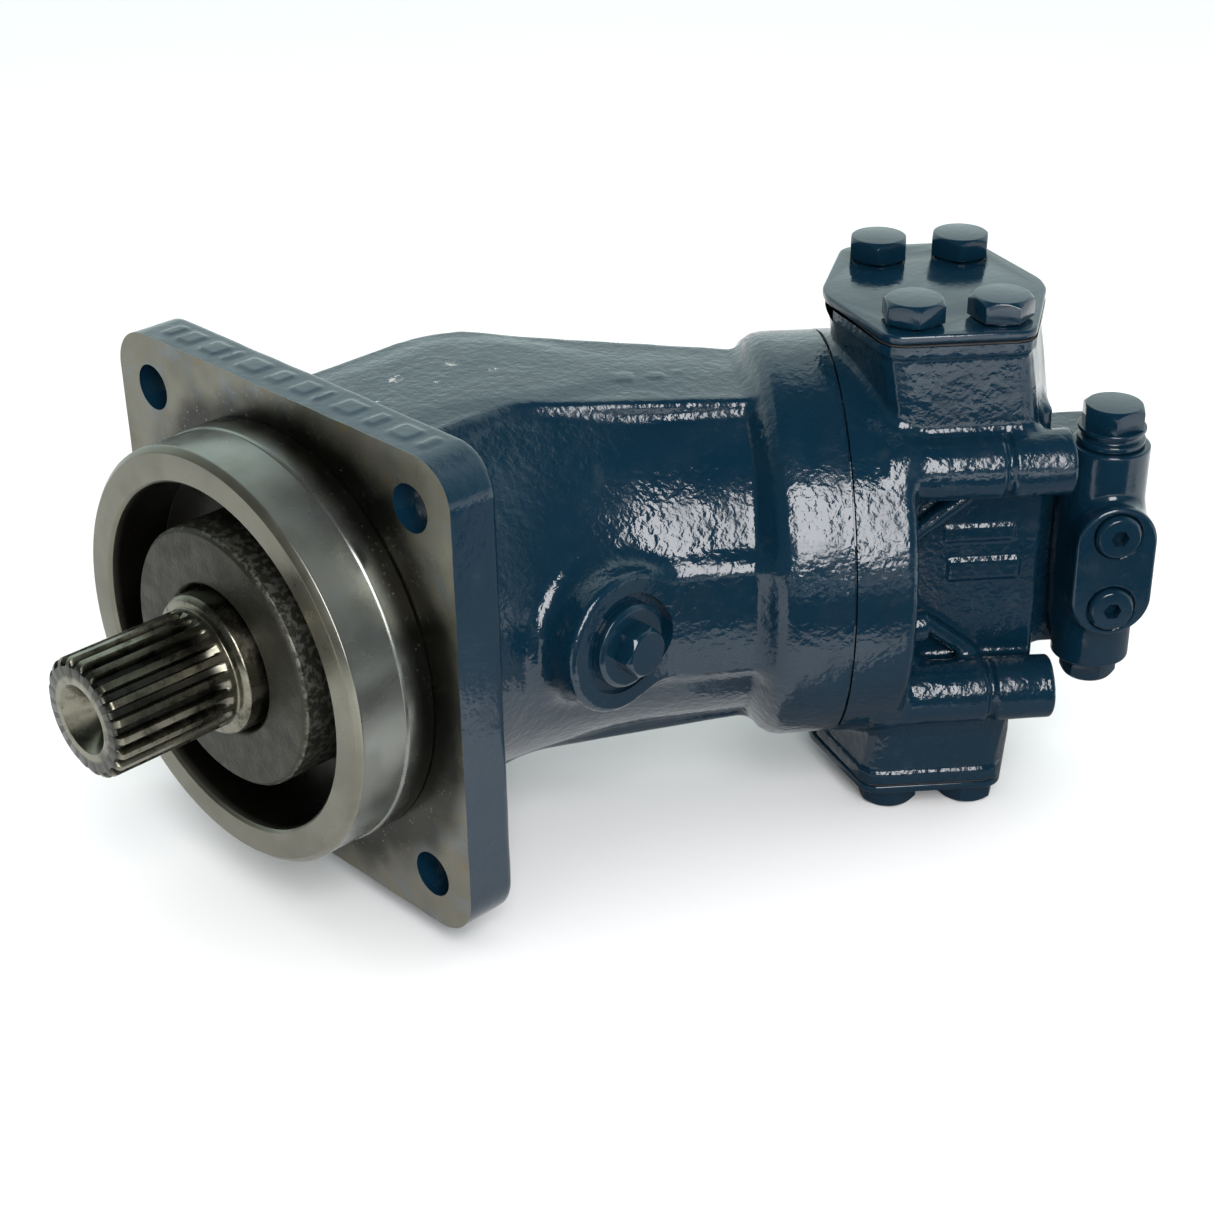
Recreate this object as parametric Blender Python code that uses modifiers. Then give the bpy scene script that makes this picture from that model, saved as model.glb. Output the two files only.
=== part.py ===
"""Bent-axis axial-piston hydraulic motor with a 40 degree bend.

Motor frame: +X runs into the motor along the shaft axis from the flange's front face, +Z points at
the upper port and the barrel bends towards -Y.  Everything hangs on one empty, which puts the origin
under the middle of the motor, level with the lowest port bolts.
"""
import math

import bmesh
import bpy
from mathutils import Matrix, Vector

# ---------------------------------------------------------------- driving dimensions (metres)
GAP = 0.0003                    # clearance between neighbouring solids

FLANGE_SIDE = 0.187             # square mounting flange
FLANGE_THICK = 0.0205
FLANGE_CORNER = 0.017
BOLT_CIRCLE = 0.207
FLANGE_HOLE = 0.0175

PILOT_RADIUS = 0.080            # locating diameter 160, behind a slightly smaller guide ring
PILOT_LENGTH = 0.012
GUIDE_RADIUS = 0.0793
GUIDE_LENGTH = 0.033
GUIDE_CHAMFER = 0.0022
NOSE_BORE = 0.0661
NOSE_FLOOR = -0.008             # X of the floor of the nose recess

SHAFT_END = -0.0891             # X of the shaft's end face
SPLINE_TEETH = 21               # W45 x 2 x 21
SPLINE_TIP = 0.0223
SPLINE_ROOT = 0.0202
SPLINE_END = -0.0455

BEND_X = 0.0881                 # where the shaft axis meets the barrel axis
BEND_ANGLE = math.radians(40)
JOINT_AT = 0.1360               # housing end face, along the barrel axis from the bend
GASKET = 0.0005
PLATE_AT = JOINT_AT + GASKET + 2 * GAP
DISC_END = 0.1600
COLLAR_RADIUS = 0.0787

BEARING_BODY = 0.079            # radius of the casting round the shaft bearings
PLATEAU_HIGH = 0.0755           # height of the flat top and bottom at the bend
PLATEAU_LOW = 0.0680            # and at the collar
PLATEAU_END = 0.108
PLATEAU_HALF = 0.038            # half its width over the bearings
SIDE_PAD = 0.068                # distance of the side pad from the barrel axis
CAVITY = 0.062
BARREL_CAVITY = 0.058

DRAIN_X = 0.0765
DRAIN_FACE = 0.0965
REAR_DRAIN_FACE = 0.0865
DRAIN_BOSS = 0.027
REAR_DRAIN_BOSS = 0.019
DRAIN_SEAT = 0.0195             # machined seat round the near drain port
REAR_DRAIN_SEAT = 0.0165
SEAT_DEPTH = 0.0016
PLUG_COLLAR = 0.0160
PLUG_FLATS = 0.0170
DRAIN_THREAD = 0.0085

PORT_AT = 0.1775                # middle of the SAE port pattern along the barrel axis
PORT_ALONG = 0.0159             # half pattern 31.8
PORT_ACROSS = 0.03335           # half pattern 66.7
PORT_BORE = 0.016
PAD_FACE = 0.0950
LOWER_DROP = 0.0056             # the lower port lies this much nearer the barrel axis
PAD_LIP = 0.0045                # height of the lip round the pad under its cover
PAD_RADII = (0.020, 0.020, 0.0085, 0.0085) * 2
COVER_LOW = PAD_FACE + GASKET + 2 * GAP
COVER_HIGH = 0.0995
BOLT_FLATS = 0.021              # M14 hexagon heads
BOLT_HEAD = 0.0088
BOLT_SHANK = 0.0067
BOLT_TURNS = (28, 50, 18, 15)   # degrees that each bolt of a port is turned

SCREW_CIRCLE = 0.0675           # four M12 socket screws hold the port plate
SCREW_BOSS = 0.0123
SCREW_END = 0.2195
WEB_END = 0.2160

VALVE_AT = 0.2412               # flushing valve axis along the barrel axis
VALVE_SIDE = -0.0266            # and across it
VALVE_RADIUS = 0.0150
VALVE_HALF = 0.045
VALVE_FACE = -0.0475
VALVE_BACK = -0.0118
VALVE_BORE = 0.0075

PISTONS = 7
BALL_CIRCLE = 0.040             # ball centres on the drive flange
BALL_RADIUS = 0.011
PISTON_LENGTH = 0.076           # ball centre to head centre
BORE_CIRCLE = BALL_CIRCLE * (1 + math.cos(BEND_ANGLE)) / 2
BALL_OFFSET = BALL_CIRCLE * (1 - math.cos(BEND_ANGLE)) / 2
PISTON_BORE = 0.0108
BLOCK_RADIUS = 0.050
BLOCK_FRONT = 0.042
BORE_END = 0.1085
LENS_MIDDLE = 0.1200            # where the domed control face crosses the barrel axis
LENS_RADIUS = 0.180
PLATE_BACK = PLATE_AT - GAP

# ---------------------------------------------------------------- frames inside the motor
CYCLE = Matrix(((0, 0, 1, 0), (1, 0, 0, 0), (0, 1, 0, 0), (0, 0, 0, 1)))
SHAFT = CYCLE                                                     # local Z along the shaft
ELBOW = Matrix.Translation((BEND_X, 0, 0)) @ Matrix.Rotation(-BEND_ANGLE, 4, "Z")
BARREL = ELBOW @ CYCLE                                            # local Z along the barrel
LEVEL = Matrix.Identity(4)

for old in list(bpy.data.objects):
    bpy.data.objects.remove(old, do_unlink=True)


def collection(name):
    """A new collection in the scene."""
    made = bpy.data.collections.new(name)
    bpy.context.scene.collection.children.link(made)
    return made


PARTS = collection("hydraulic_motor")
CUTTERS = collection("cutters")

ROOT = bpy.data.objects.new("motor_frame", None)
PARTS.objects.link(ROOT)


def material(name, colour, roughness, metallic):
    """A plain Principled material."""
    made = bpy.data.materials.new(name)
    made.use_nodes = True
    shader = made.node_tree.nodes["Principled BSDF"]
    shader.inputs["Base Color"].default_value = (*colour, 1)
    shader.inputs["Roughness"].default_value = roughness
    shader.inputs["Metallic"].default_value = metallic
    return made


PAINT = material("navy_paint", (0.012, 0.035, 0.065), 0.25, 0.0)
IRON = material("machined_iron", (0.20, 0.19, 0.16), 0.40, 1.0)
STEEL = material("polished_steel", (0.45, 0.44, 0.40), 0.25, 1.0)
BRONZE = material("bronze", (0.42, 0.28, 0.12), 0.35, 1.0)
RUBBER = material("rubber", (0.02, 0.02, 0.02), 0.60, 0.0)
FIBRE = material("gasket_fibre", (0.05, 0.05, 0.05), 0.80, 0.0)


# ---------------------------------------------------------------- modelling helpers
def place(name, mesh, frame, look):
    """A part: a mesh object under the motor frame, or a hidden cutter when it has no material."""
    obj = bpy.data.objects.new(name, mesh)
    (PARTS if look else CUTTERS).objects.link(obj)
    if look:
        mesh.materials.append(look)
    else:
        obj.hide_render = True
        obj.display_type = "WIRE"
    obj.parent = ROOT
    obj.matrix_local = frame
    return obj


def turned(name, profile, frame, look=None, steps=48, ring=False):
    """Revolve (radius, height) points about the frame's Z; a ring's outline closes on itself."""
    loop = profile + profile[:1]
    area = sum(a[0] * b[1] - b[0] * a[1] for a, b in zip(loop, loop[1:]))
    points = profile if area < 0 else profile[::-1]
    edges = [(i, i + 1) for i in range(len(points) - 1)]
    if ring:
        edges.append((len(points) - 1, 0))
    mesh = bpy.data.meshes.new(name)
    mesh.from_pydata([(radius, 0, height) for radius, height in points], edges, [])
    obj = place(name, mesh, frame, look)
    screw = obj.modifiers.new("Turn", "SCREW")
    screw.steps = steps
    screw.render_steps = steps
    screw.use_merge_vertices = True
    screw.merge_threshold = 0.00001
    return obj


def cylinder(name, radius, low, high, frame, look=None, at=(0, 0), steps=24):
    """A cylinder along the frame's Z, from low to high, centred on at."""
    mesh = bpy.data.meshes.new(name)
    shape = bmesh.new()
    bmesh.ops.create_cone(shape, cap_ends=True, segments=steps, radius1=radius, radius2=radius,
                          depth=high - low)
    shape.to_mesh(mesh)
    shape.free()
    spot = Matrix.Translation((at[0], at[1], (low + high) / 2))
    return place(name, mesh, frame @ spot, look)


def hexagon(name, flats, low, high, frame, look=None):
    """A hexagonal prism along the frame's Z."""
    return cylinder(name, flats / math.sqrt(3), low, high, frame, look, steps=6)


def ball(name, radius, frame, look=None, segments=16, rings=10):
    """A sphere at the frame's origin."""
    mesh = bpy.data.meshes.new(name)
    shape = bmesh.new()
    bmesh.ops.create_uvsphere(shape, u_segments=segments, v_segments=rings, radius=radius)
    shape.to_mesh(mesh)
    shape.free()
    return place(name, mesh, frame, look)


def box(name, low, high, frame, look=None):
    """A box between two corners, in the frame's axes."""
    low = Vector(low)
    high = Vector(high)
    mesh = bpy.data.meshes.new(name)
    shape = bmesh.new()
    size = Matrix.Diagonal((*(high - low), 1))
    bmesh.ops.create_cube(shape, size=1, matrix=size)
    shape.to_mesh(mesh)
    shape.free()
    return place(name, mesh, frame @ Matrix.Translation((low + high) / 2), look)


def loft(name, rings, frame, look=None):
    """Skin a list of rings of points and close both ends."""
    mesh = bpy.data.meshes.new(name)
    shape = bmesh.new()
    rows = [[shape.verts.new(point) for point in ring] for ring in rings]
    count = len(rings[0])
    for lower, upper in zip(rows, rows[1:]):
        for i in range(count):
            j = (i + 1) % count
            shape.faces.new((lower[i], lower[j], upper[j], upper[i]))
    shape.faces.new(rows[0][::-1])
    shape.faces.new(rows[-1])
    bmesh.ops.recalc_face_normals(shape, faces=shape.faces)
    shape.to_mesh(mesh)
    shape.free()
    return place(name, mesh, frame, look)


def prism(name, outline, low, high, frame, look=None):
    """A flat outline extruded along the frame's Z."""
    rings = [[(x, y, height) for x, y in outline] for height in (low, high)]
    return loft(name, rings, frame, look)


def combine(target, operation, others):
    """Add one Boolean modifier for each of the other shapes."""
    for other in others:
        change = target.modifiers.new(other.name, "BOOLEAN")
        change.operation = operation
        change.solver = "EXACT"
        change.object = other
    return target


def fuse(target, *others):
    """Join hidden shapes to a part."""
    return combine(target, "UNION", others)


def cut(target, *others):
    """Take hidden shapes away from a part."""
    return combine(target, "DIFFERENCE", others)


def arc(centre, radius, start, end, count):
    """Points on an arc, angles in degrees."""
    turns = [math.radians(start + (end - start) * i / (count - 1)) for i in range(count)]
    return [(centre[0] + radius * math.cos(t), centre[1] + radius * math.sin(t)) for t in turns]


def rounded(corners, radii, count=4):
    """A convex outline with each corner rounded by an arc of its own radius."""
    outline = []
    total = len(corners)
    for i, (corner, radius) in enumerate(zip(corners, radii)):
        here = Vector(corner)
        back = (Vector(corners[i - 1]) - here).normalized()
        ahead = (Vector(corners[(i + 1) % total]) - here).normalized()
        half = back.angle(ahead) / 2
        centre = here + (back + ahead).normalized() * radius / math.sin(half)
        first = here + back * radius / math.tan(half) - centre
        last = here + ahead * radius / math.tan(half) - centre
        start = math.atan2(first.y, first.x)
        sweep = (math.atan2(last.y, last.x) - start + math.pi) % (2 * math.pi) - math.pi
        for step in range(count):
            t = start + sweep * step / (count - 1)
            outline.append((centre.x + radius * math.cos(t), centre.y + radius * math.sin(t)))
    return outline


def around(count, radius, first=0.0):
    """Evenly spaced points on a circle."""
    turns = [first + 2 * math.pi * i / count for i in range(count)]
    return [(radius * math.cos(t), radius * math.sin(t)) for t in turns]


def coil(name, radius, wire, low, high, turns, frame, look):
    """A helical compression spring along the frame's Z, as a round wire with closed ends."""
    per_turn = 8
    count = int(turns * per_turn) + 1
    curve = bpy.data.curves.new(name, "CURVE")
    curve.dimensions = "3D"
    curve.bevel_depth = wire
    curve.bevel_resolution = 1
    curve.use_fill_caps = True
    curve.render_resolution_u = 0
    spline = curve.splines.new("POLY")
    spline.points.add(count - 1)
    for i, point in enumerate(spline.points):
        turn = 2 * math.pi * i / per_turn
        height = low + wire + (high - low - 2 * wire) * i / (count - 1)
        point.co = (radius * math.cos(turn), radius * math.sin(turn), height, 1)
    obj = bpy.data.objects.new(name, curve)
    PARTS.objects.link(obj)
    obj.data.materials.append(look)
    obj.parent = ROOT
    obj.matrix_local = frame
    return obj


# ---------------------------------------------------------------- housing
def flange_plate():
    """The square flange with rounded corners, as a cutter-side shape."""
    half = FLANGE_SIDE / 2
    corners = [(half, half), (-half, half), (-half, -half), (half, -half)]
    return prism("flange_plate", rounded(corners, [FLANGE_CORNER] * 4, 5), 0, FLANGE_THICK, SHAFT)


def bearing_casting(look):
    """Guide ring, pilot and bearing body, turned about the shaft and domed at the bend."""
    dome = arc((0, BEND_X), BEARING_BODY, 90, 0, 7)
    profile = [
        (0, -GUIDE_LENGTH),
        (GUIDE_RADIUS - GUIDE_CHAMFER, -GUIDE_LENGTH),
        (GUIDE_RADIUS, -GUIDE_LENGTH + GUIDE_CHAMFER),
        (GUIDE_RADIUS, -PILOT_LENGTH),
        (PILOT_RADIUS, -PILOT_LENGTH),
        (PILOT_RADIUS, FLANGE_THICK / 2),
        (BEARING_BODY, FLANGE_THICK / 2),
    ]
    return turned("housing", profile + dome[::-1], SHAFT, look, steps=40)


def barrel_casting():
    """The tapered barrel and its collar, turned about the barrel axis."""
    profile = [
        (0, -0.004),
        (0.0745, -0.004),
        (0.0668, 0.103),
        (0.0715, 0.1075),
        (COLLAR_RADIUS - 0.001, 0.112),
        (COLLAR_RADIUS, 0.115),
        (COLLAR_RADIUS, JOINT_AT),
        (0, JOINT_AT),
    ]
    return turned("barrel_casting", profile, BARREL, steps=40)


def plateau_slabs():
    """The flat raised band over the bearings and along the barrel, top and bottom at once."""
    over_bearings = box("plateau_bearings", (0.012, -PLATEAU_HALF, -PLATEAU_HIGH),
                        (BEND_X, PLATEAU_HALF, PLATEAU_HIGH), LEVEL)
    over_bend = cylinder("plateau_bend", PLATEAU_HALF - 0.0005, -PLATEAU_HIGH, PLATEAU_HIGH, ELBOW)
    wide = PLATEAU_HALF - 0.0015
    narrow = 0.0255
    rings = []
    for along, side, height in ((0, wide, PLATEAU_HIGH), (PLATEAU_END, narrow, PLATEAU_LOW)):
        rings.append([(along, -side, -height), (along, side, -height), (along, side, height),
                      (along, -side, height)])
    over_barrel = loft("plateau_barrel", rings, ELBOW)
    return over_bearings, over_bend, over_barrel


def drain_spots():
    """Frames for the two case drain ports: local Z points out of the boss."""
    inner = Matrix.Translation((DRAIN_X, 0, 0)) @ Matrix.Rotation(math.radians(90), 4, "X")
    outer = Matrix.Translation((DRAIN_X, 0, 0)) @ Matrix.Rotation(math.radians(-90), 4, "X")
    return inner, outer


def make_housing():
    """The one-piece casting from the guide ring to the collar, hollow inside."""
    housing = bearing_casting(PAINT)
    side_pad = box("side_pad", (0.036, -SIDE_PAD, -0.0215), (0.1135, -0.045, 0.0215), ELBOW)
    inner, outer = drain_spots()
    bosses = [
        cylinder("drain_boss_inner", DRAIN_BOSS, 0.045, DRAIN_FACE, inner, steps=28),
        cylinder("drain_boss_outer", REAR_DRAIN_BOSS, 0.060, REAR_DRAIN_FACE, outer, steps=20),
    ]
    fuse(housing, flange_plate(), barrel_casting(), *plateau_slabs(), side_pad, *bosses)

    bearing_bores = turned("bearing_bores", [
        (0, -0.060), (NOSE_BORE + 0.0015, -0.060), (NOSE_BORE + 0.0015, -GUIDE_LENGTH),
        (NOSE_BORE, -GUIDE_LENGTH + 0.0015), (NOSE_BORE, NOSE_FLOOR), (0.0458, NOSE_FLOOR),
        (0.0458, 0.0200), (0.0608, 0.0200), (0.0608, 0.0540), (CAVITY, 0.0560),
        (CAVITY, BEND_X - 0.003), (0, BEND_X - 0.003),
    ], SHAFT, steps=32)
    bend_room = ball("bend_room", CAVITY + 0.0003, ELBOW, segments=24, rings=12)
    barrel_bore = cylinder("barrel_bore", BARREL_CAVITY, 0.005, JOINT_AT + 0.01, BARREL, steps=30)
    cut(housing, bearing_bores, bend_room, barrel_bore)

    half = BOLT_CIRCLE / math.sqrt(8)
    for i, (y, z) in enumerate(((half, half), (-half, half), (-half, -half), (half, -half)), 1):
        cut(housing, cylinder(f"flange_hole_{i}", FLANGE_HOLE / 2, -0.01, 0.04, SHAFT, at=(y, z),
                              steps=12))
    for frame, face, seat, name in ((inner, DRAIN_FACE, DRAIN_SEAT, "inner"),
                                    (outer, REAR_DRAIN_FACE, REAR_DRAIN_SEAT, "outer")):
        cut(housing, cylinder(f"drain_bore_{name}", DRAIN_THREAD + 2 * GAP, 0.04, 0.12, frame,
                              steps=12))
        cut(housing, cylinder(f"drain_seat_{name}", seat, face - SEAT_DEPTH, 0.12, frame, steps=20))
    for i, spot in enumerate(around(4, SCREW_CIRCLE, math.pi / 4), 1):
        cut(housing, cylinder(f"screw_thread_{i}", 0.0064, 0.1131, 0.150, BARREL, at=spot, steps=10))
    return housing


# ---------------------------------------------------------------- shaft line
def spline_ring(at, tip, root):
    """One section of the splined shaft: trapezoid teeth between root and tip radius."""
    pitch = 2 * math.pi / SPLINE_TEETH
    points = []
    for tooth in range(SPLINE_TEETH):
        for share, radius in ((-0.34, root), (-0.17, tip), (0.17, tip), (0.34, root)):
            turn = (tooth + share) * pitch
            points.append((radius * math.cos(turn), radius * math.sin(turn), at))
    return points


def ball_frames():
    """Frames at the piston balls, with the shaft's axes."""
    spots = []
    for i in range(PISTONS):
        turn = 2 * math.pi * i / PISTONS
        spots.append((turn, Vector((BEND_X, BALL_CIRCLE * math.cos(turn),
                                    BALL_CIRCLE * math.sin(turn)))))
    return spots


def make_drive_shaft():
    """Splined shaft with bearing seats and the drive flange that carries the ball sockets."""
    face = BEND_X + 0.0008
    shaft = turned("drive_shaft", [
        (0, -0.060),
        (0.0045, -0.062),
        (0.0045, -0.077),
        (0.0129, SHAFT_END),
        (0.0195, SHAFT_END),
        (0.0195, SPLINE_END + 0.0020),
        (SPLINE_TIP, SPLINE_END + 0.0045),
        (SPLINE_TIP, SPLINE_END + 0.0053),
        (0.0252, SPLINE_END + 0.0056),
        (0.0266, SPLINE_END + 0.0070),
        (0.0266, -0.0070),
        (0.0272, -0.0065),
        (0.0272, 0.0199),
        (0.0322, 0.0199),
        (0.0322, 0.0530),
        (0.0360, 0.0530),
        (0.0360, 0.0565),
        (0.0550, 0.0600),
        (0.0550, face),
        (0, face),
    ], SHAFT, STEEL, steps=28)
    spline = loft("spline_teeth", [
        spline_ring(SHAFT_END, 0.0209, 0.0196),
        spline_ring(SHAFT_END + 0.0014, SPLINE_TIP, SPLINE_ROOT),
        spline_ring(SPLINE_END, SPLINE_TIP, SPLINE_ROOT),
        spline_ring(SPLINE_END + 0.0048, SPLINE_TIP - 0.0001, SPLINE_TIP - 0.0002),
    ], SHAFT)
    centre_hole = turned("centre_hole", [
        (0, -0.120), (0.0129, -0.120), (0.0129, SHAFT_END), (0.0045, -0.077), (0.0045, -0.062),
        (0, -0.060),
    ], SHAFT, steps=14)
    fuse(shaft, spline)
    cut(shaft, centre_hole)
    for i, (_, spot) in enumerate(ball_frames(), 1):
        cut(shaft, ball(f"ball_socket_{i}", BALL_RADIUS + 0.0012, Matrix.Translation(spot), segments=10,
                        rings=7))
    cut(shaft, ball("pin_socket", 0.0106, Matrix.Translation((BEND_X, 0, 0)), segments=10, rings=7))
    return shaft


def make_front_cover():
    """The round cover in the nose recess, with the seal's seat."""
    return turned("front_cover", [
        (0.0494, -0.0304), (0.0494, NOSE_FLOOR - GAP), (0.0452, NOSE_FLOOR - GAP),
        (0.0452, -0.0068), (0.0366, -0.0068), (0.0366, -0.0230), (0.0282, -0.0230),
        (0.0282, -0.0322), (0.0476, -0.0322),
    ], SHAFT, IRON, steps=36, ring=True)


def make_shaft_seal():
    """Radial lip seal between the cover and the shaft's polished collar."""
    return turned("shaft_seal", [
        (0.0363, -0.0226), (0.0363, -0.0110), (0.0325, -0.0110), (0.0325, -0.0200),
        (0.0288, -0.0180), (0.0270, -0.0195), (0.0270, -0.0226),
    ], SHAFT, RUBBER, steps=28, ring=True)


def make_bearing(name, low, high, bore, outer, roller, count, flip):
    """A tapered roller bearing: cone on the shaft, cup in the housing, rollers in their cage."""
    middle = (low + high) / 2
    mean = (bore + outer) / 2
    lean = 0.0018 if flip else -0.0018
    cup = turned(f"{name}_bearing_cup", [
        (outer, low + GAP), (outer, high - GAP),
        (mean + roller + GAP + lean, high - GAP), (mean + roller + GAP - lean, low + GAP),
    ], SHAFT, STEEL, steps=24, ring=True)
    cone = turned(f"{name}_bearing_cone", [
        (bore, low + GAP), (bore, high - GAP),
        (mean - roller - GAP + lean, high - GAP), (mean - roller - GAP - lean, low + GAP),
    ], SHAFT, STEEL, steps=24, ring=True)
    thin = 0.0008
    reach = (high - low) / 2 - 0.0022
    slope = lean * 2 * reach / (high - low)
    cage = turned(f"{name}_bearing_rollers", [
        (mean + thin - slope, middle - reach - 0.0012), (mean + thin + slope, middle + reach + 0.0012),
        (mean - thin + slope, middle + reach + 0.0012), (mean - thin - slope, middle - reach - 0.0012),
    ], SHAFT, BRONZE, steps=24, ring=True)
    rollers = bpy.data.meshes.new(f"{name}_rollers")
    shape = bmesh.new()
    tilt = Matrix.Rotation(math.atan2(slope, reach), 4, "Y")
    for y, z in around(count, mean):
        turn = Matrix.Rotation(math.atan2(z, y), 4, "Z")
        spot = turn @ Matrix.Translation((mean, 0, middle)) @ tilt
        bmesh.ops.create_cone(shape, cap_ends=True, segments=6, radius1=roller * 0.94,
                              radius2=roller * 0.94, depth=2 * reach, matrix=spot)
    shape.to_mesh(rollers)
    shape.free()
    fuse(cage, place(f"{name}_rollers", rollers, SHAFT, None))
    return cup, cone, cage


# ---------------------------------------------------------------- rotating group
def make_retaining_plate():
    """Thin ring that keeps the balls in the drive flange."""
    low = BEND_X + 0.0012
    high = BEND_X + 0.0032
    plate = turned("retaining_plate", [(0.053, low), (0.053, high), (0.020, high), (0.020, low)],
                   SHAFT, STEEL, steps=28, ring=True)
    for i, (_, spot) in enumerate(ball_frames(), 1):
        hole = turned(f"ball_hole_{i}", [
            (0, 0), (0.0118, 0), (0.0114, 0.005), (0, 0.005),
        ], Matrix.Translation(spot) @ SHAFT, steps=12)
        cut(plate, hole)
    return plate


def make_pistons():
    """Seven balls in the drive flange and seven tapered pistons in the cylinder block."""
    along = BARREL.to_3x3() @ Vector((0, 0, 1))
    across = BARREL.to_3x3() @ Vector((1, 0, 0))
    up = Vector((0, 0, 1))
    lean = math.asin(BALL_OFFSET / PISTON_LENGTH)
    head = PISTON_LENGTH
    for i, (turn, spot) in enumerate(ball_frames(), 1):
        ball(f"piston_ball_{i}", BALL_RADIUS, Matrix.Translation(spot), STEEL, 10, 6)
        sideways = across * math.cos(turn) - up * math.sin(turn)
        axis = along * math.cos(lean) + sideways * math.sin(lean)
        frame = Matrix.Translation(spot) @ axis.to_track_quat("Z", "Y").to_matrix().to_4x4()
        turned(f"piston_{i}", [
            (0, BALL_RADIUS + 0.0004), (0.0046, BALL_RADIUS + 0.0004), (0.0094, head - 0.008),
            (0.0094, head - 0.0018), (0.0101, head - 0.0010), (0.0101, head + 0.0030),
            (0, head + 0.0030),
        ], frame, STEEL, steps=12)


def lens(radius, middle):
    """Height of the domed control face at a radius."""
    return middle + radius * radius / (2 * LENS_RADIUS)


def make_cylinder_block():
    """Cylinder block with seven bores and a slot from each bore to the control face."""
    dome = [(r, lens(r, LENS_MIDDLE)) for r in (0, 0.016, 0.032, BLOCK_RADIUS)]
    block = turned("cylinder_block", [(0, BLOCK_FRONT), (BLOCK_RADIUS - 0.002, BLOCK_FRONT),
                                      (BLOCK_RADIUS, BLOCK_FRONT + 0.002)] + dome[::-1],
                   BARREL, STEEL, steps=28)
    for i, spot in enumerate(around(PISTONS, BORE_CIRCLE), 1):
        cut(block, cylinder(f"piston_bore_{i}", PISTON_BORE, 0.03, BORE_END, BARREL, at=spot,
                            steps=14))
        cut(block, cylinder(f"port_slot_{i}", 0.0060, BORE_END - 0.004, 0.14, BARREL, at=spot,
                            steps=8))
    cut(block, cylinder("pin_bore", 0.0080, 0.03, 0.1060, BARREL, steps=14))
    return block


def make_centre_pin():
    """Ball-ended pin that centres the block and carries its spring."""
    dome = arc((0, 0), 0.0097, -90, 50, 6)
    profile = dome + [(0.0048, 0.0095), (0.0068, 0.013), (0.0072, 0.0760), (0, 0.0760)]
    coil("centre_spring", 0.0055, 0.0010, 0.0763, 0.1057, 4.5, BARREL, STEEL)
    return turned("centre_pin", profile, BARREL, STEEL, steps=14)


def kidney(name, sign, low, high, width):
    """A curved slot over one port side of the control face."""
    start = 28 if sign > 0 else 208
    outer = arc((0, 0), BORE_CIRCLE + width, start, start + 124, 7)
    inner = arc((0, 0), BORE_CIRCLE - width, start + 124, start, 7)
    return prism(name, outer + inner, low, high, BARREL)


def make_control_plate():
    """Domed plate with two kidney ports between the block and the port plate."""
    dome = [(r, lens(r, LENS_MIDDLE + 0.0004)) for r in (0, 0.016, 0.032, 0.048)]
    plate = turned("control_plate", dome + [(0.048, PLATE_BACK), (0, PLATE_BACK)], BARREL, BRONZE,
                   steps=28)
    return cut(plate, kidney("upper_kidney", 1, 0.11, 0.15, 0.005),
               kidney("lower_kidney", -1, 0.11, 0.15, 0.005))


# ---------------------------------------------------------------- port plate
def pad_outline(grow, left):
    """Corners of a port pad, in elbow X and Y; grow and left move the ends along the barrel."""
    middle = PORT_AT - 0.001
    return [
        (middle + 0.0415 + grow, -0.0045), (middle + 0.0415 + grow, 0.0045),
        (middle + 0.0265, 0.0480), (middle - 0.0265, 0.0480),
        (middle - 0.0415 + left, 0.0045), (middle - 0.0415 + left, -0.0045),
        (middle - 0.0265, -0.0480), (middle + 0.0265, -0.0480),
    ]


def side_frame(sign):
    """Elbow frame for one port side; heights count alike on both sides of it."""
    return ELBOW @ Matrix.Translation((0, 0, LOWER_DROP if sign < 0 else 0))


def pad_levels():
    """Heights and outlines of a port pad from the disc up to the lip under its cover."""
    step = PAD_FACE - PAD_LIP
    return [
        (0.056, rounded(pad_outline(0.0045, 0.0068), PAD_RADII, 3)),
        (step - 0.0012, rounded(pad_outline(-0.0012, 0.0024), PAD_RADII, 3)),
        (step, rounded(pad_outline(0, 0.0010), PAD_RADII, 3)),
        (PAD_FACE, rounded(pad_outline(0, 0.0010), PAD_RADII, 3)),
    ]


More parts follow.
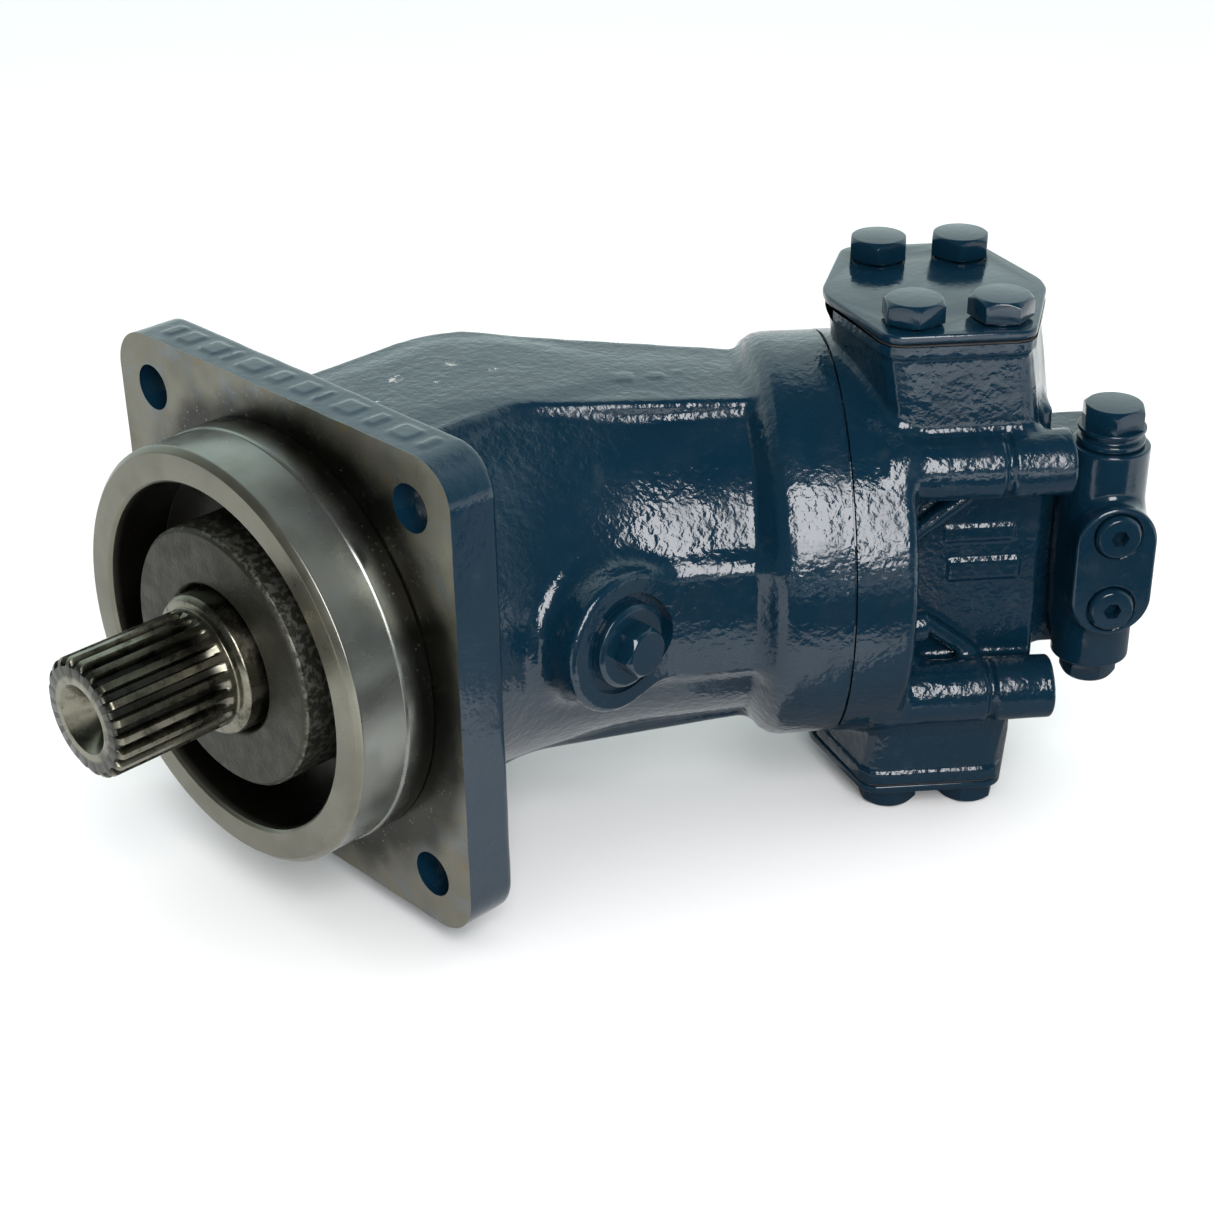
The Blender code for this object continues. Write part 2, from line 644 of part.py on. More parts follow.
def make_port_plate():
    """The end casting: disc, two port pads, four screw bosses, web and the valve's lug."""
    plate = turned("port_plate", [
        (0, PLATE_AT), (COLLAR_RADIUS, PLATE_AT), (COLLAR_RADIUS, DISC_END - 0.004),
        (COLLAR_RADIUS - 0.004, DISC_END), (0, DISC_END),
    ], BARREL, PAINT, steps=40)
    web = box("web", (0.145, -0.0345, -0.0585), (WEB_END, 0.0345, 0.064), ELBOW)
    lug = box("valve_lug", (0.205, VALVE_BACK + 2 * GAP, -0.050), (0.2566, 0.024, 0.036), ELBOW)
    rear_rib = box("rear_rib", (0.150, 0.010, -0.0477), (0.2150, 0.0477, 0.0477), ELBOW)
    pieces = [web, lug, rear_rib]
    for name, sign in (("upper", 1), ("lower", -1)):
        rings = [[(x, y, sign * height) for x, y in outline] for height, outline in pad_levels()]
        pieces.append(loft(f"{name}_pad", rings, side_frame(sign)))
    for i, spot in enumerate(around(4, SCREW_CIRCLE, math.pi / 4), 1):
        boss = turned(f"screw_boss_{i}", [
            (0, 0.150), (SCREW_BOSS, 0.150), (SCREW_BOSS, 0.1935), (SCREW_BOSS - 0.0016, 0.1947),
            (SCREW_BOSS - 0.0016, 0.1957), (SCREW_BOSS, 0.1969), (SCREW_BOSS, SCREW_END - 0.001),
            (SCREW_BOSS - 0.001, SCREW_END), (0, SCREW_END),
        ], BARREL @ Matrix.Translation((*spot, 0)), steps=16)
        pieces.append(boss)
    peg = cylinder("casting_peg", 0.0061, 0.150, 0.1680, BARREL, at=(-0.056, -0.013), steps=14)
    fuse(plate, *pieces, peg)
    cut(plate, *port_passages())
    return plate


def port_passages():
    """Port bores, kidney passages, tapped bolt holes and screw holes."""
    holes = [kidney("upper_passage", 1, 0.12, 0.172, 0.006),
             kidney("lower_passage", -1, 0.12, 0.172, 0.006)]
    for name, sign in (("upper", 1), ("lower", -1)):
        low, high = sorted((sign * 0.026, sign * 0.12))
        holes.append(cylinder(f"{name}_port", PORT_BORE, low, high, ELBOW, at=(PORT_AT, 0),
                              steps=18))
    for i, (x, y, sign) in enumerate(bolt_spots(), 1):
        low, high = sorted((sign * 0.066, sign * 0.12))
        holes.append(cylinder(f"bolt_thread_{i}", BOLT_SHANK + 2 * GAP, low, high,
                              side_frame(sign), at=(x, y), steps=10))
    for i, spot in enumerate(around(4, SCREW_CIRCLE, math.pi / 4), 1):
        holes.append(turned(f"screw_hole_{i}", [
            (0, 0.12), (0.0064, 0.12), (0.0064, 0.1985), (0.0095, 0.1985), (0.0095, 0.24), (0, 0.24),
        ], BARREL @ Matrix.Translation((*spot, 0)), steps=12))
    for i, height in enumerate((0.026, -0.026), 1):
        frame = ELBOW @ Matrix.Translation((VALVE_AT, 0, height)) @ Matrix.Rotation(
            math.radians(90), 4, "X")
        holes.append(turned(f"lug_hole_{i}", [
            (0, -0.04), (0.0068, -0.04), (0.0068, -0.017), (0.0036, -0.017), (0.0036, 0.03), (0, 0.03),
        ], frame, steps=10))
    return holes


def bolt_spots():
    """The eight port bolts: four round each port, as elbow X, Y and the side of the port."""
    spots = []
    for sign in (1, -1):
        for across in (-PORT_ACROSS, PORT_ACROSS):
            for along in (-PORT_ALONG, PORT_ALONG):
                spots.append((PORT_AT + along, across, sign))
    return spots


def make_port_covers():
    """Blanking plates over both ports, their gaskets and their bolts."""
    for name, sign in (("top", 1), ("bottom", -1)):
        holes = [spot for spot in bolt_spots() if spot[2] == sign]
        frame = side_frame(sign)
        low, high = sorted((sign * COVER_LOW, sign * COVER_HIGH))
        cover = prism(f"port_cover_{name}", rounded(pad_outline(0, 0), PAD_RADII), low, high, frame,
                      PAINT)
        low, high = sorted((sign * (PAD_FACE + GAP), sign * (COVER_LOW - GAP)))
        sheet = prism(f"port_gasket_{name}", rounded(pad_outline(-0.0015, 0.0025), PAD_RADII, 3), low,
                      high, frame, FIBRE)
        low, high = sorted((sign * 0.08, sign * 0.12))
        for i, (x, y, _) in enumerate(holes, 1):
            hole = cylinder(f"{name}_cover_hole_{i}", BOLT_SHANK + 0.0006, low, high, frame,
                            at=(x, y), steps=10)
            cut(cover, hole)
            cut(sheet, hole)
        cut(sheet, cylinder(f"{name}_gasket_port", PORT_BORE, low, high, frame, at=(PORT_AT, 0)))
        for i, ((x, y, _), turn) in enumerate(zip(holes, BOLT_TURNS), 1):
            make_port_bolt(f"port_bolt_{name}_{i}", x, y, sign, turn)


def make_port_bolt(name, x, y, sign, turn):
    """Hexagon bolt with a washer face; its local Z points out of the port."""
    flip = Matrix.Rotation(0 if sign > 0 else math.pi, 4, "X")
    frame = side_frame(sign) @ Matrix.Translation((x, y, 0)) @ flip
    seat = COVER_HIGH + GAP
    washer = BOLT_FLATS / 2 - 0.0008
    bolt = turned(name, [
        (0, 0.0700), (BOLT_SHANK, 0.0700), (BOLT_SHANK, seat), (washer, seat),
        (washer, seat + 0.0020), (0, seat + 0.0020),
    ], frame, PAINT, steps=12)
    head = turned(f"{name}_crown", [
        (0, seat + 0.0008), (0.0130, seat + 0.0008), (0.0130, seat + BOLT_HEAD - 0.0022),
        (0.0095, seat + BOLT_HEAD), (0, seat + BOLT_HEAD),
    ], frame, steps=12)
    spun = frame @ Matrix.Rotation(math.radians(turn), 4, "Z")
    prism_head = hexagon(f"{name}_hexagon", BOLT_FLATS, 0.05, 0.13, spun)
    combine(head, "INTERSECT", [prism_head])
    return fuse(bolt, head)


def make_plate_screws():
    """Four socket screws through the bosses into the housing."""
    for i, spot in enumerate(around(4, SCREW_CIRCLE, math.pi / 4), 1):
        frame = BARREL @ Matrix.Translation((*spot, 0))
        screw = turned(f"port_plate_screw_{i}", [
            (0, 0.1150), (0.0059, 0.1150), (0.0059, 0.1988), (0.0090, 0.1988), (0.0090, 0.2100),
            (0.0082, 0.2108), (0, 0.2108),
        ], frame, STEEL, steps=12)
        cut(screw, hexagon(f"plate_socket_{i}", 0.0100, 0.2045, 0.22, frame))


def make_plate_gasket():
    """Gasket between the housing and the port plate."""
    gasket = turned("port_plate_gasket", [
        (COLLAR_RADIUS - 0.0010, JOINT_AT + GAP), (COLLAR_RADIUS - 0.0010, PLATE_AT - GAP),
        (0.0590, PLATE_AT - GAP), (0.0590, JOINT_AT + GAP),
    ], BARREL, FIBRE, steps=32, ring=True)
    for i, spot in enumerate(around(4, SCREW_CIRCLE, math.pi / 4), 1):
        cut(gasket, cylinder(f"gasket_hole_{i}", 0.0066, 0.12, 0.15, BARREL, at=spot, steps=10))
    return gasket


def make_drain_plugs():
    """Hexagon plug and sealing washer in each case drain port."""
    inner, outer = drain_spots()
    for name, frame, face in (("drain", inner, DRAIN_FACE), ("rear_drain", outer, REAR_DRAIN_FACE)):
        floor = face - SEAT_DEPTH + GAP
        seat = floor + 0.0015 + GAP
        if name == "drain":
            turned("drain_washer", [
                (PLUG_COLLAR, floor), (PLUG_COLLAR, floor + 0.0015),
                (DRAIN_THREAD + 0.0004, floor + 0.0015),
                (DRAIN_THREAD + 0.0004, floor),
            ], frame, BRONZE, steps=20, ring=True)
        plug = turned(f"{name}_plug", [
            (0, face - 0.0140), (DRAIN_THREAD, face - 0.0140), (DRAIN_THREAD, seat),
            (PLUG_COLLAR, seat), (PLUG_COLLAR, seat + 0.0022), (PLUG_COLLAR - 0.002, seat + 0.0030),
            (0, seat + 0.0030),
        ], frame, PAINT, steps=20)
        head = hexagon(f"{name}_hexagon", PLUG_FLATS, seat + 0.001, seat + 0.0105, frame)
        fuse(plug, head)


# ---------------------------------------------------------------- flushing valve
def valve_frame():
    """Upright frame on the valve's axis."""
    return ELBOW @ Matrix.Translation((VALVE_AT, VALVE_SIDE, 0))


def front_frame(height):
    """Frame on the valve's front face: local Z points out towards -Y of the elbow."""
    return ELBOW @ Matrix.Translation((VALVE_AT, VALVE_FACE, height)) @ Matrix.Rotation(
        math.radians(90), 4, "X")


def make_valve_body():
    """Upright valve casting with a front boss and a mounting block behind."""
    frame = valve_frame()
    body = cylinder("flushing_valve_body", VALVE_RADIUS, -VALVE_HALF, VALVE_HALF, frame, PAINT,
                    steps=28)
    front = ELBOW @ Matrix.Translation((VALVE_AT, 0, 0)) @ Matrix.Rotation(math.radians(90), 4, "X")
    stadium = arc((0, 0.0116), 0.0154, 0, 180, 9) + arc((0, -0.0116), 0.0154, 180, 360, 9)
    boss = prism("valve_boss", stadium, -VALVE_SIDE, -VALVE_FACE, front)
    block = box("valve_block", (VALVE_AT - 0.0148, VALVE_SIDE, -0.034),
                (VALVE_AT + 0.0148, VALVE_BACK, 0.034), ELBOW)
    fuse(body, boss, block)
    spool_bore = turned("spool_bore", [
        (0, -0.06), (0.0102, -0.06), (0.0102, -0.0330), (VALVE_BORE, -0.0330), (VALVE_BORE, 0.0330),
        (0.0102, 0.0330), (0.0102, 0.06), (0, 0.06),
    ], frame, steps=14)
    cut(body, spool_bore)
    for i, height in enumerate((0.0154, -0.0154), 1):
        cut(body, turned(f"valve_plug_seat_{i}", [
            (0, -0.0125), (0.0061, -0.0125), (0.0061, -0.0022), (0.0094, -0.0022), (0.0094, 0.01),
            (0, 0.01),
        ], front_frame(height), steps=14))
    for i, height in enumerate((0.026, -0.026), 1):
        back = ELBOW @ Matrix.Translation((VALVE_AT, 0, height)) @ Matrix.Rotation(
            math.radians(90), 4, "X")
        cut(body, cylinder(f"valve_thread_{i}", 0.0033, 0.0, 0.0175, back, steps=12))
    return body


def make_valve_screws():
    """Two socket screws from behind the lug into the valve block."""
    for i, height in enumerate((0.026, -0.026), 1):
        frame = ELBOW @ Matrix.Translation((VALVE_AT, 0, height)) @ Matrix.Rotation(
            math.radians(90), 4, "X")
        screw = turned(f"valve_screw_{i}", [
            (0, -0.0233), (0.0062, -0.0233), (0.0062, -0.0173), (0.0030, -0.0173),
            (0.0030, 0.0170), (0, 0.0170),
        ], frame, STEEL, steps=10)
        cut(screw, hexagon(f"valve_screw_socket_{i}", 0.0050, -0.03, -0.0200, frame))


def make_valve_inside():
    """End plugs, spool, centring springs and the two front plugs of the flushing valve."""
    frame = valve_frame()
    seat = VALVE_HALF + GAP
    stem = [(0, 0.0325), (0.0056, 0.0325), (0.0056, 0.0335), (0.0098, 0.0335), (0.0098, seat)]
    top = turned("valve_plug_top", stem + [
        (0.0128, seat), (0.0128, seat + 0.0024), (0.0112, seat + 0.0030),
        (0.0112, seat + 0.0052), (0.0128, seat + 0.0056), (0.0128, seat + 0.0070),
        (0, seat + 0.0070),
    ], frame, PAINT, steps=18)
    fuse(top, hexagon("valve_hexagon_top", 0.0215, seat + 0.006, seat + 0.0155, frame))
    upside_down = frame @ Matrix.Rotation(math.pi, 4, "X")
    bottom = turned("valve_plug_bottom", stem + [(0.0098, seat + 0.0016), (0, seat + 0.0016)],
                    upside_down, PAINT, steps=18)
    fuse(bottom, hexagon("valve_hexagon_bottom", 0.0190, seat + 0.0008, seat + 0.0090, upside_down))
    turned("valve_spool", [
        (0, -0.0220), (0.0040, -0.0220), (0.0040, -0.0200), (0.0071, -0.0200), (0.0071, -0.0100),
        (0.0042, -0.0085), (0.0042, -0.0035), (0.0071, -0.0020), (0.0071, 0.0020),
        (0.0042, 0.0035), (0.0042, 0.0085), (0.0071, 0.0100), (0.0071, 0.0200), (0.0040, 0.0200),
        (0.0040, 0.0220), (0, 0.0220),
    ], frame, STEEL, steps=12)
    coil("valve_spring_top", 0.0058, 0.0007, 0.0203, 0.0322, 3.5, frame, STEEL)
    coil("valve_spring_bottom", 0.0058, 0.0007, -0.0322, -0.0203, 3.5, frame, STEEL)
    for name, height in (("upper", 0.0154), ("lower", -0.0154)):
        face = front_frame(height)
        plug = turned(f"valve_port_plug_{name}", [
            (0, -0.0120), (0.0058, -0.0120), (0.0058, -0.0019), (0.0087, -0.0019),
            (0.0087, 0.0012), (0.0070, 0.0024), (0, 0.0024),
        ], face, PAINT, steps=16)
        cut(plug, hexagon(f"port_plug_socket_{name}", 0.0060, -0.0026, 0.01, face))


# ---------------------------------------------------------------- assembly
def build():
    """Make every part of the motor."""
    make_housing()
    make_front_cover()
    make_shaft_seal()
    make_drive_shaft()
    make_bearing("front", -0.0060, 0.0190, 0.0278, 0.0452, 0.0036, 15, True)
    make_bearing("rear", 0.0210, 0.0520, 0.0329, 0.0602, 0.0052, 14, False)
    make_retaining_plate()
    make_pistons()
    make_centre_pin()
    make_cylinder_block()
    make_control_plate()
    make_plate_gasket()
    make_port_plate()
    make_port_covers()
    make_plate_screws()
    make_drain_plugs()
    make_valve_body()
    make_valve_screws()
    make_valve_inside()


def stand_on_origin():
    """Move the motor so that the origin is under its middle, at its lowest point."""
    bpy.context.view_layer.update()
    graph = bpy.context.evaluated_depsgraph_get()
    low = Vector((1.0, 1.0, 1.0))
    high = Vector((-1.0, -1.0, -1.0))
    for part in PARTS.objects:
        if part is ROOT:
            continue
        shown = part.evaluated_get(graph)
        for vertex in shown.to_mesh().vertices:
            spot = shown.matrix_world @ vertex.co
            low = Vector(map(min, low, spot))
            high = Vector(map(max, high, spot))
        shown.to_mesh_clear()
    ROOT.location = (-(low.x + high.x) / 2, -(low.y + high.y) / 2, -low.z)
    bpy.context.view_layer.update()


build()
stand_on_origin()
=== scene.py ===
"""Looks of the bent-axis hydraulic motor: castings with fillets, turned parts, paint and bare metal.

Motor frame: +X runs into the motor along the shaft from the flange's front face, +Z points at the upper
port, and the barrel bends 40 degrees towards -Y.  Castings are signed distance fields with blended
corners, turned into meshes here; turned parts are rounded profiles.
"""
import math

import bmesh
import bpy
import numpy as np
from mathutils import Matrix, Vector


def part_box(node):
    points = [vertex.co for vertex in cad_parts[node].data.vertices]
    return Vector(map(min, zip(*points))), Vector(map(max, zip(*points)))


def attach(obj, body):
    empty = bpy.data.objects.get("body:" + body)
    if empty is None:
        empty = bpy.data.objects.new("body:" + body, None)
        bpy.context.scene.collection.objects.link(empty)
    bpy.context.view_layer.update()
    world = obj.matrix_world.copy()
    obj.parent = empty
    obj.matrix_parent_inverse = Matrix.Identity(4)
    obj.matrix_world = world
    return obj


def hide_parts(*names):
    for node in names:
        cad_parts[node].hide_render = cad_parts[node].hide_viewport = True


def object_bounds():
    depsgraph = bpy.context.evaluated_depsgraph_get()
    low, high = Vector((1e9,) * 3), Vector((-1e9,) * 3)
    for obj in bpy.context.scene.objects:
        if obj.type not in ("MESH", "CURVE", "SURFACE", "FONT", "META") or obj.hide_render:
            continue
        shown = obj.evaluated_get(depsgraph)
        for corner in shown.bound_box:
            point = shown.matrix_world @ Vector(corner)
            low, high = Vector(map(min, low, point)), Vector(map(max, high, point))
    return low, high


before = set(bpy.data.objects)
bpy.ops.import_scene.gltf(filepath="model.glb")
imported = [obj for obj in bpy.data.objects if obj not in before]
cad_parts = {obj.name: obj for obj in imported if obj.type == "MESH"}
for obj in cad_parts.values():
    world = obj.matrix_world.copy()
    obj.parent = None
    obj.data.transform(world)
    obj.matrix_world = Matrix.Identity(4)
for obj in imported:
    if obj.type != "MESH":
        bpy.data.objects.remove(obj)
CAD_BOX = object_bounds()

# ---------------------------------------------------------------- dimensions (metres)
GAP = 0.0003
FLANGE_HALF = 0.0935
FLANGE_THICK = 0.0205
FLANGE_CORNER = 0.017
BOLT_CIRCLE = 0.207
FLANGE_HOLE = 0.0175 / 2
PILOT_RADIUS = 0.080
PILOT_LENGTH = 0.012
GUIDE_RADIUS = 0.0793
GUIDE_LENGTH = 0.033
NOSE_BORE = 0.0661
NOSE_FLOOR = -0.008
SEAT_RADIUS = 0.0458

SHAFT_END = -0.0891
SPLINE_TEETH = 21
SPLINE_END = -0.0427
SPLINE_TIP = 0.0223
SPLINE_ROOT = 0.0200

BEND_X = 0.0881
BEND_ANGLE = math.radians(40)
JOINT_AT = 0.1360
PLATE_AT = 0.1371
DISC_END = 0.1600
COLLAR_RADIUS = 0.0787
BEARING_BODY = 0.079
PLATEAU_HIGH = 0.0755
PLATEAU_LOW = 0.0680
PLATEAU_END = 0.108
PLATEAU_HALF = 0.038
SIDE_PAD = 0.068
BARREL_BORE = 0.058

DRAIN_X = 0.0765
DRAIN_FACE = 0.0965
REAR_DRAIN_FACE = 0.0865
DRAIN_BOSS = 0.027
REAR_DRAIN_BOSS = 0.019
DRAIN_SEAT = 0.0195
REAR_DRAIN_SEAT = 0.0165
SEAT_DEPTH = 0.0016
PLUG_COLLAR = 0.0160
DRAIN_THREAD = 0.0085

PORT_AT = 0.1775
PORT_ALONG = 0.0159
PORT_ACROSS = 0.03335
PORT_BORE = 0.016
PAD_FACE = 0.0950
PAD_LIP = 0.0045
PAD_RADII = (0.020, 0.020, 0.0085, 0.0085) * 2
LOWER_DROP = 0.0056
COVER_LOW = 0.0961
COVER_HIGH = 0.0995
BOLT_FLATS = 0.021
BOLT_HEAD = 0.0088
BOLT_SHANK = 0.0067
BOLT_TURNS = (28, 50, 18, 15)

SCREW_CIRCLE = 0.0675
SCREW_BOSS = 0.0123
SCREW_END = 0.2195
WEB_END = 0.2160
WEB_HALF = 0.0345

VALVE_AT = 0.2412
VALVE_SIDE = -0.0266
VALVE_RADIUS = 0.0150
VALVE_HALF = 0.045
VALVE_FACE = -0.0475
VALVE_BACK = -0.0118
VALVE_SCREW_HIGH = 0.026
VALVE_PORT_HIGH = 0.0154

# ---------------------------------------------------------------- frames inside the motor
LOW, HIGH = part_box("housing")
ORIGIN = Vector((LOW.x + GUIDE_LENGTH, HIGH.y - FLANGE_HALF, (LOW.z + HIGH.z) / 2))
MOTOR = Matrix.Translation(ORIGIN)
CYCLE = Matrix(((0, 0, 1, 0), (1, 0, 0, 0), (0, 1, 0, 0), (0, 0, 0, 1)))
SHAFT = MOTOR @ CYCLE
ELBOW = MOTOR @ Matrix.Translation((BEND_X, 0, 0)) @ Matrix.Rotation(-BEND_ANGLE, 4, "Z")
BARREL = ELBOW @ CYCLE
SIDES = {1: ELBOW, -1: ELBOW @ Matrix.Translation((0, 0, LOWER_DROP))}
TOWARDS_Y = Matrix.Rotation(math.radians(90), 4, "X")
DRAIN = MOTOR @ Matrix.Translation((DRAIN_X, 0, 0)) @ TOWARDS_Y
REAR_DRAIN = MOTOR @ Matrix.Translation((DRAIN_X, 0, 0)) @ TOWARDS_Y.inverted()
VALVE = ELBOW @ Matrix.Translation((VALVE_AT, VALVE_SIDE, 0))
VALVE_FRONT = ELBOW @ Matrix.Translation((VALVE_AT, VALVE_FACE, 0)) @ TOWARDS_Y
SCREW_SPOTS = [(SCREW_CIRCLE * math.cos(t), SCREW_CIRCLE * math.sin(t))
               for t in (math.radians(45 + 90 * i) for i in range(4))]
HOLE = BOLT_CIRCLE / math.sqrt(8)


# ---------------------------------------------------------------- distance fields
def local(points, place):
    """Points in another frame's coordinates."""
    back = np.array(place.inverted(), dtype=np.float64)
    return points @ back[:3, :3].T + back[:3, 3]


def blend(a, b, width):
    """Union of two fields with a concave fillet."""
    near = np.maximum(width - np.abs(a - b), 0) / width
    return np.minimum(a, b) - near * near * width / 4


def carve(a, b, width=0.0005):
    """Field a without b, with a small rounding along the edge."""
    return -blend(-a, b, width)


def slab(flat, height, half, edge):
    """Extrude a flat field to a height of plus or minus half, its edges rounded."""
    side = flat + edge
    top = np.abs(height) - half + edge
    inside = np.minimum(np.maximum(side, top), 0)
    return inside + np.hypot(np.maximum(side, 0), np.maximum(top, 0)) - edge


def polygon(x, y, corners):
    """Distance to a closed outline in the plane, negative inside."""
    nearest = np.full(x.shape, 1e9)
    inside = np.zeros(x.shape, dtype=bool)
    for (ax, ay), (bx, by) in zip(corners, corners[1:] + corners[:1]):
        ex, ey = bx - ax, by - ay
        wx, wy = x - ax, y - ay
        share = np.clip((wx * ex + wy * ey) / (ex * ex + ey * ey), 0, 1)
        nearest = np.minimum(nearest, (wx - share * ex) ** 2 + (wy - share * ey) ** 2)
        crosses = (ay > y) != (by > y)
        if ey != 0:
            inside ^= crosses & (x < ax + (y - ay) * ex / ey)
    return np.where(inside, -1, 1) * np.sqrt(nearest)


def turned_field(points, profile, edge=0.0):
    """Field of a profile of (radius, height) revolved about Z."""
    radius = np.hypot(points[:, 0], points[:, 1])
    closed = [(-0.3, profile[0][1])] + list(profile) + [(-0.3, profile[-1][1])]
    return polygon(radius, points[:, 2], closed) - edge


def rod(points, radius, low, high, edge=0.0, at=(0, 0)):
    """A cylinder along Z."""
    flat = np.hypot(points[:, 0] - at[0], points[:, 1] - at[1]) - radius
    return slab(flat, points[:, 2] - (low + high) / 2, (high - low) / 2, edge)


def block(points, low, high, edge=0.0):
    """A box between two corners, its edges rounded."""
    centre = (np.array(low) + np.array(high)) / 2
    reach = np.abs(points - centre) - (np.array(high) - np.array(low)) / 2 + edge
    return np.linalg.norm(np.maximum(reach, 0), axis=1) + np.minimum(reach.max(axis=1), 0) - edge


def bar(points, start, end, radius):
    """A round-ended bar between two points."""
    a = np.array(start)
    along = np.array(end) - a
    share = np.clip((points - a) @ along / (along @ along), 0, 1)
    return np.linalg.norm(points - a - share[:, None] * along, axis=1) - radius


def waves(points, size, seed):
    """Smooth unevenness between -1 and 1 with a wavelength of about size."""
    draw = np.random.default_rng(seed)
    total = np.zeros(len(points))
    for _ in range(7):
        way = draw.normal(size=3)
        way *= 2 * math.pi / (size * np.linalg.norm(way))
        total += np.sin(points @ way + draw.uniform(0, 2 * math.pi))
    return total / 7


# ---------------------------------------------------------------- from a field to a mesh
COARSE_STEP = 4
CUBE = [(i, j, k) for i in (0, 1) for j in (0, 1) for k in (0, 1)]


def in_slices(field, points, size=400000):
    """Evaluate a field in pieces, to save memory."""
    return np.concatenate([field(points[i:i + size]) for i in range(0, len(points), size)])


def surface_net(field, low, high, cell):
    """Vertices and quads of the field's zero surface, one vertex to each cell it crosses."""
    axes = [np.arange(lo - 2 * cell, hi + 2 * cell, cell) for lo, hi in zip(low, high)]
    shape = tuple(len(axis) for axis in axes)
    rough_axes = [axis[::COARSE_STEP] for axis in axes]
    rough = np.stack(np.meshgrid(*rough_axes, indexing="ij"), axis=-1)
    value = in_slices(field, rough.reshape(-1, 3)).reshape(rough.shape[:3])
    nearest = [np.minimum((np.arange(n) + COARSE_STEP // 2) // COARSE_STEP, len(axis) - 1)
               for n, axis in zip(shape, rough_axes)]
    value = value[np.ix_(*nearest)]
    close = np.abs(value) < COARSE_STEP * cell * 1.5
    grid = np.stack([axis[i] for axis, i in zip(axes, np.nonzero(close))], axis=-1)
    value[close] = in_slices(field, grid)
    solid = value < 0
    count = np.zeros(tuple(n - 1 for n in shape), dtype=np.int8)
    for i, j, k in CUBE:
        count += solid[i:shape[0] - 1 + i, j:shape[1] - 1 + j, k:shape[2] - 1 + k]
    mixed = (count > 0) & (count < 8)
    cells = np.argwhere(mixed)
    index = np.full(count.shape, -1, dtype=np.int64)
    index[mixed] = np.arange(len(cells))

    total = np.zeros((len(cells), 3))
    hits = np.zeros(len(cells))
    for first in CUBE:
        for axis in range(3):
            if first[axis]:
                continue
            last = tuple(1 if n == axis else first[n] for n in range(3))
            a = value[tuple((cells + first).T)]
            b = value[tuple((cells + last).T)]
            crossed = (a < 0) != (b < 0)
            share = np.where(crossed, a / np.where(crossed, a - b, 1), 0)
            spot = np.array(first) + share[:, None] * (np.array(last) - np.array(first))
            total += spot * crossed[:, None]
            hits += crossed
    start = np.array([axis[0] for axis in axes])
    points = start + (cells + total / hits[:, None]) * cell

    quads = []
    for axis in range(3):
        one, two = (axis + 1) % 3, (axis + 2) % 3
        inner = [slice(None)] * 3
        inner[axis] = slice(0, -1)
        outer = [slice(None)] * 3
        outer[axis] = slice(1, None)
        inside = solid[tuple(inner)]
        changed = np.argwhere(inside != solid[tuple(outer)])
        kept = (changed[:, one] > 0) & (changed[:, two] > 0)
        kept &= (changed[:, one] < count.shape[one]) & (changed[:, two] < count.shape[two])
        changed = changed[kept]
        ring = []
        for step_one, step_two in ((-1, -1), (0, -1), (0, 0), (-1, 0)):
            near = changed.copy()
            near[:, one] += step_one
            near[:, two] += step_two
            ring.append(index[tuple(near.T)])
        ring = np.stack(ring, axis=1)
        backwards = ~inside[tuple(changed.T)]
        ring[backwards] = ring[backwards][:, ::-1]
        quads.append(ring)
    return points, np.concatenate(quads)


def settle(field, points, cell, rounds=3):
    """Move points onto the field's zero surface along its gradient."""
    reach = 0.25 * cell
    for _ in range(rounds):
        value = in_slices(field, points)
        slope = np.zeros_like(points)
        for axis in range(3):
            shift = np.zeros(3)
            shift[axis] = reach
            slope[:, axis] = (in_slices(field, points + shift) - in_slices(field, points - shift))
        slope /= 2 * reach
        size = np.maximum((slope * slope).sum(axis=1), 0.25)
        move = np.clip(value / size, -0.5 * cell, 0.5 * cell)
        points = points - slope * move[:, None]
    return points


def casting(name, field, low, high, cell):
    """A mesh object of a field given in the frame's coordinates."""
    points, quads = surface_net(field, low, high, cell)
    points = settle(field, points, cell)
    mesh = bpy.data.meshes.new(name)
    mesh.vertices.add(len(points))
    mesh.vertices.foreach_set("co", points.astype(np.float32).ravel())
    mesh.loops.add(quads.size)
    mesh.loops.foreach_set("vertex_index", quads.astype(np.int32).ravel())
    mesh.polygons.add(len(quads))
    mesh.polygons.foreach_set("loop_start", np.arange(0, quads.size, 4, dtype=np.int32))
    mesh.update(calc_edges=True)
    obj = bpy.data.objects.new(name, mesh)
    bpy.context.scene.collection.objects.link(obj)
    return obj


def slice_flat(obj, point, normal):
    """Cut a mesh at a plane, drop the side the normal points at, and close the cut."""
    shape = bmesh.new()
    shape.from_mesh(obj.data)
    everything = shape.verts[:] + shape.edges[:] + shape.faces[:]
    cut = bmesh.ops.bisect_plane(shape, geom=everything, plane_co=point, plane_no=normal,
                                 clear_outer=True)
    rim = [item for item in cut["geom_cut"] if isinstance(item, bmesh.types.BMEdge)]
    bmesh.ops.triangle_fill(shape, edges=rim, use_beauty=True, normal=normal)
    shape.to_mesh(obj.data)
    shape.free()


def from_shape(name, shape, place):
    """A mesh object from a bmesh, its vertices carried to their place."""
    mesh = bpy.data.meshes.new(name)
    shape.transform(place)
    bmesh.ops.recalc_face_normals(shape, faces=shape.faces)
    shape.to_mesh(mesh)
    shape.free()
    obj = bpy.data.objects.new(name, mesh)
    bpy.context.scene.collection.objects.link(obj)
    return obj


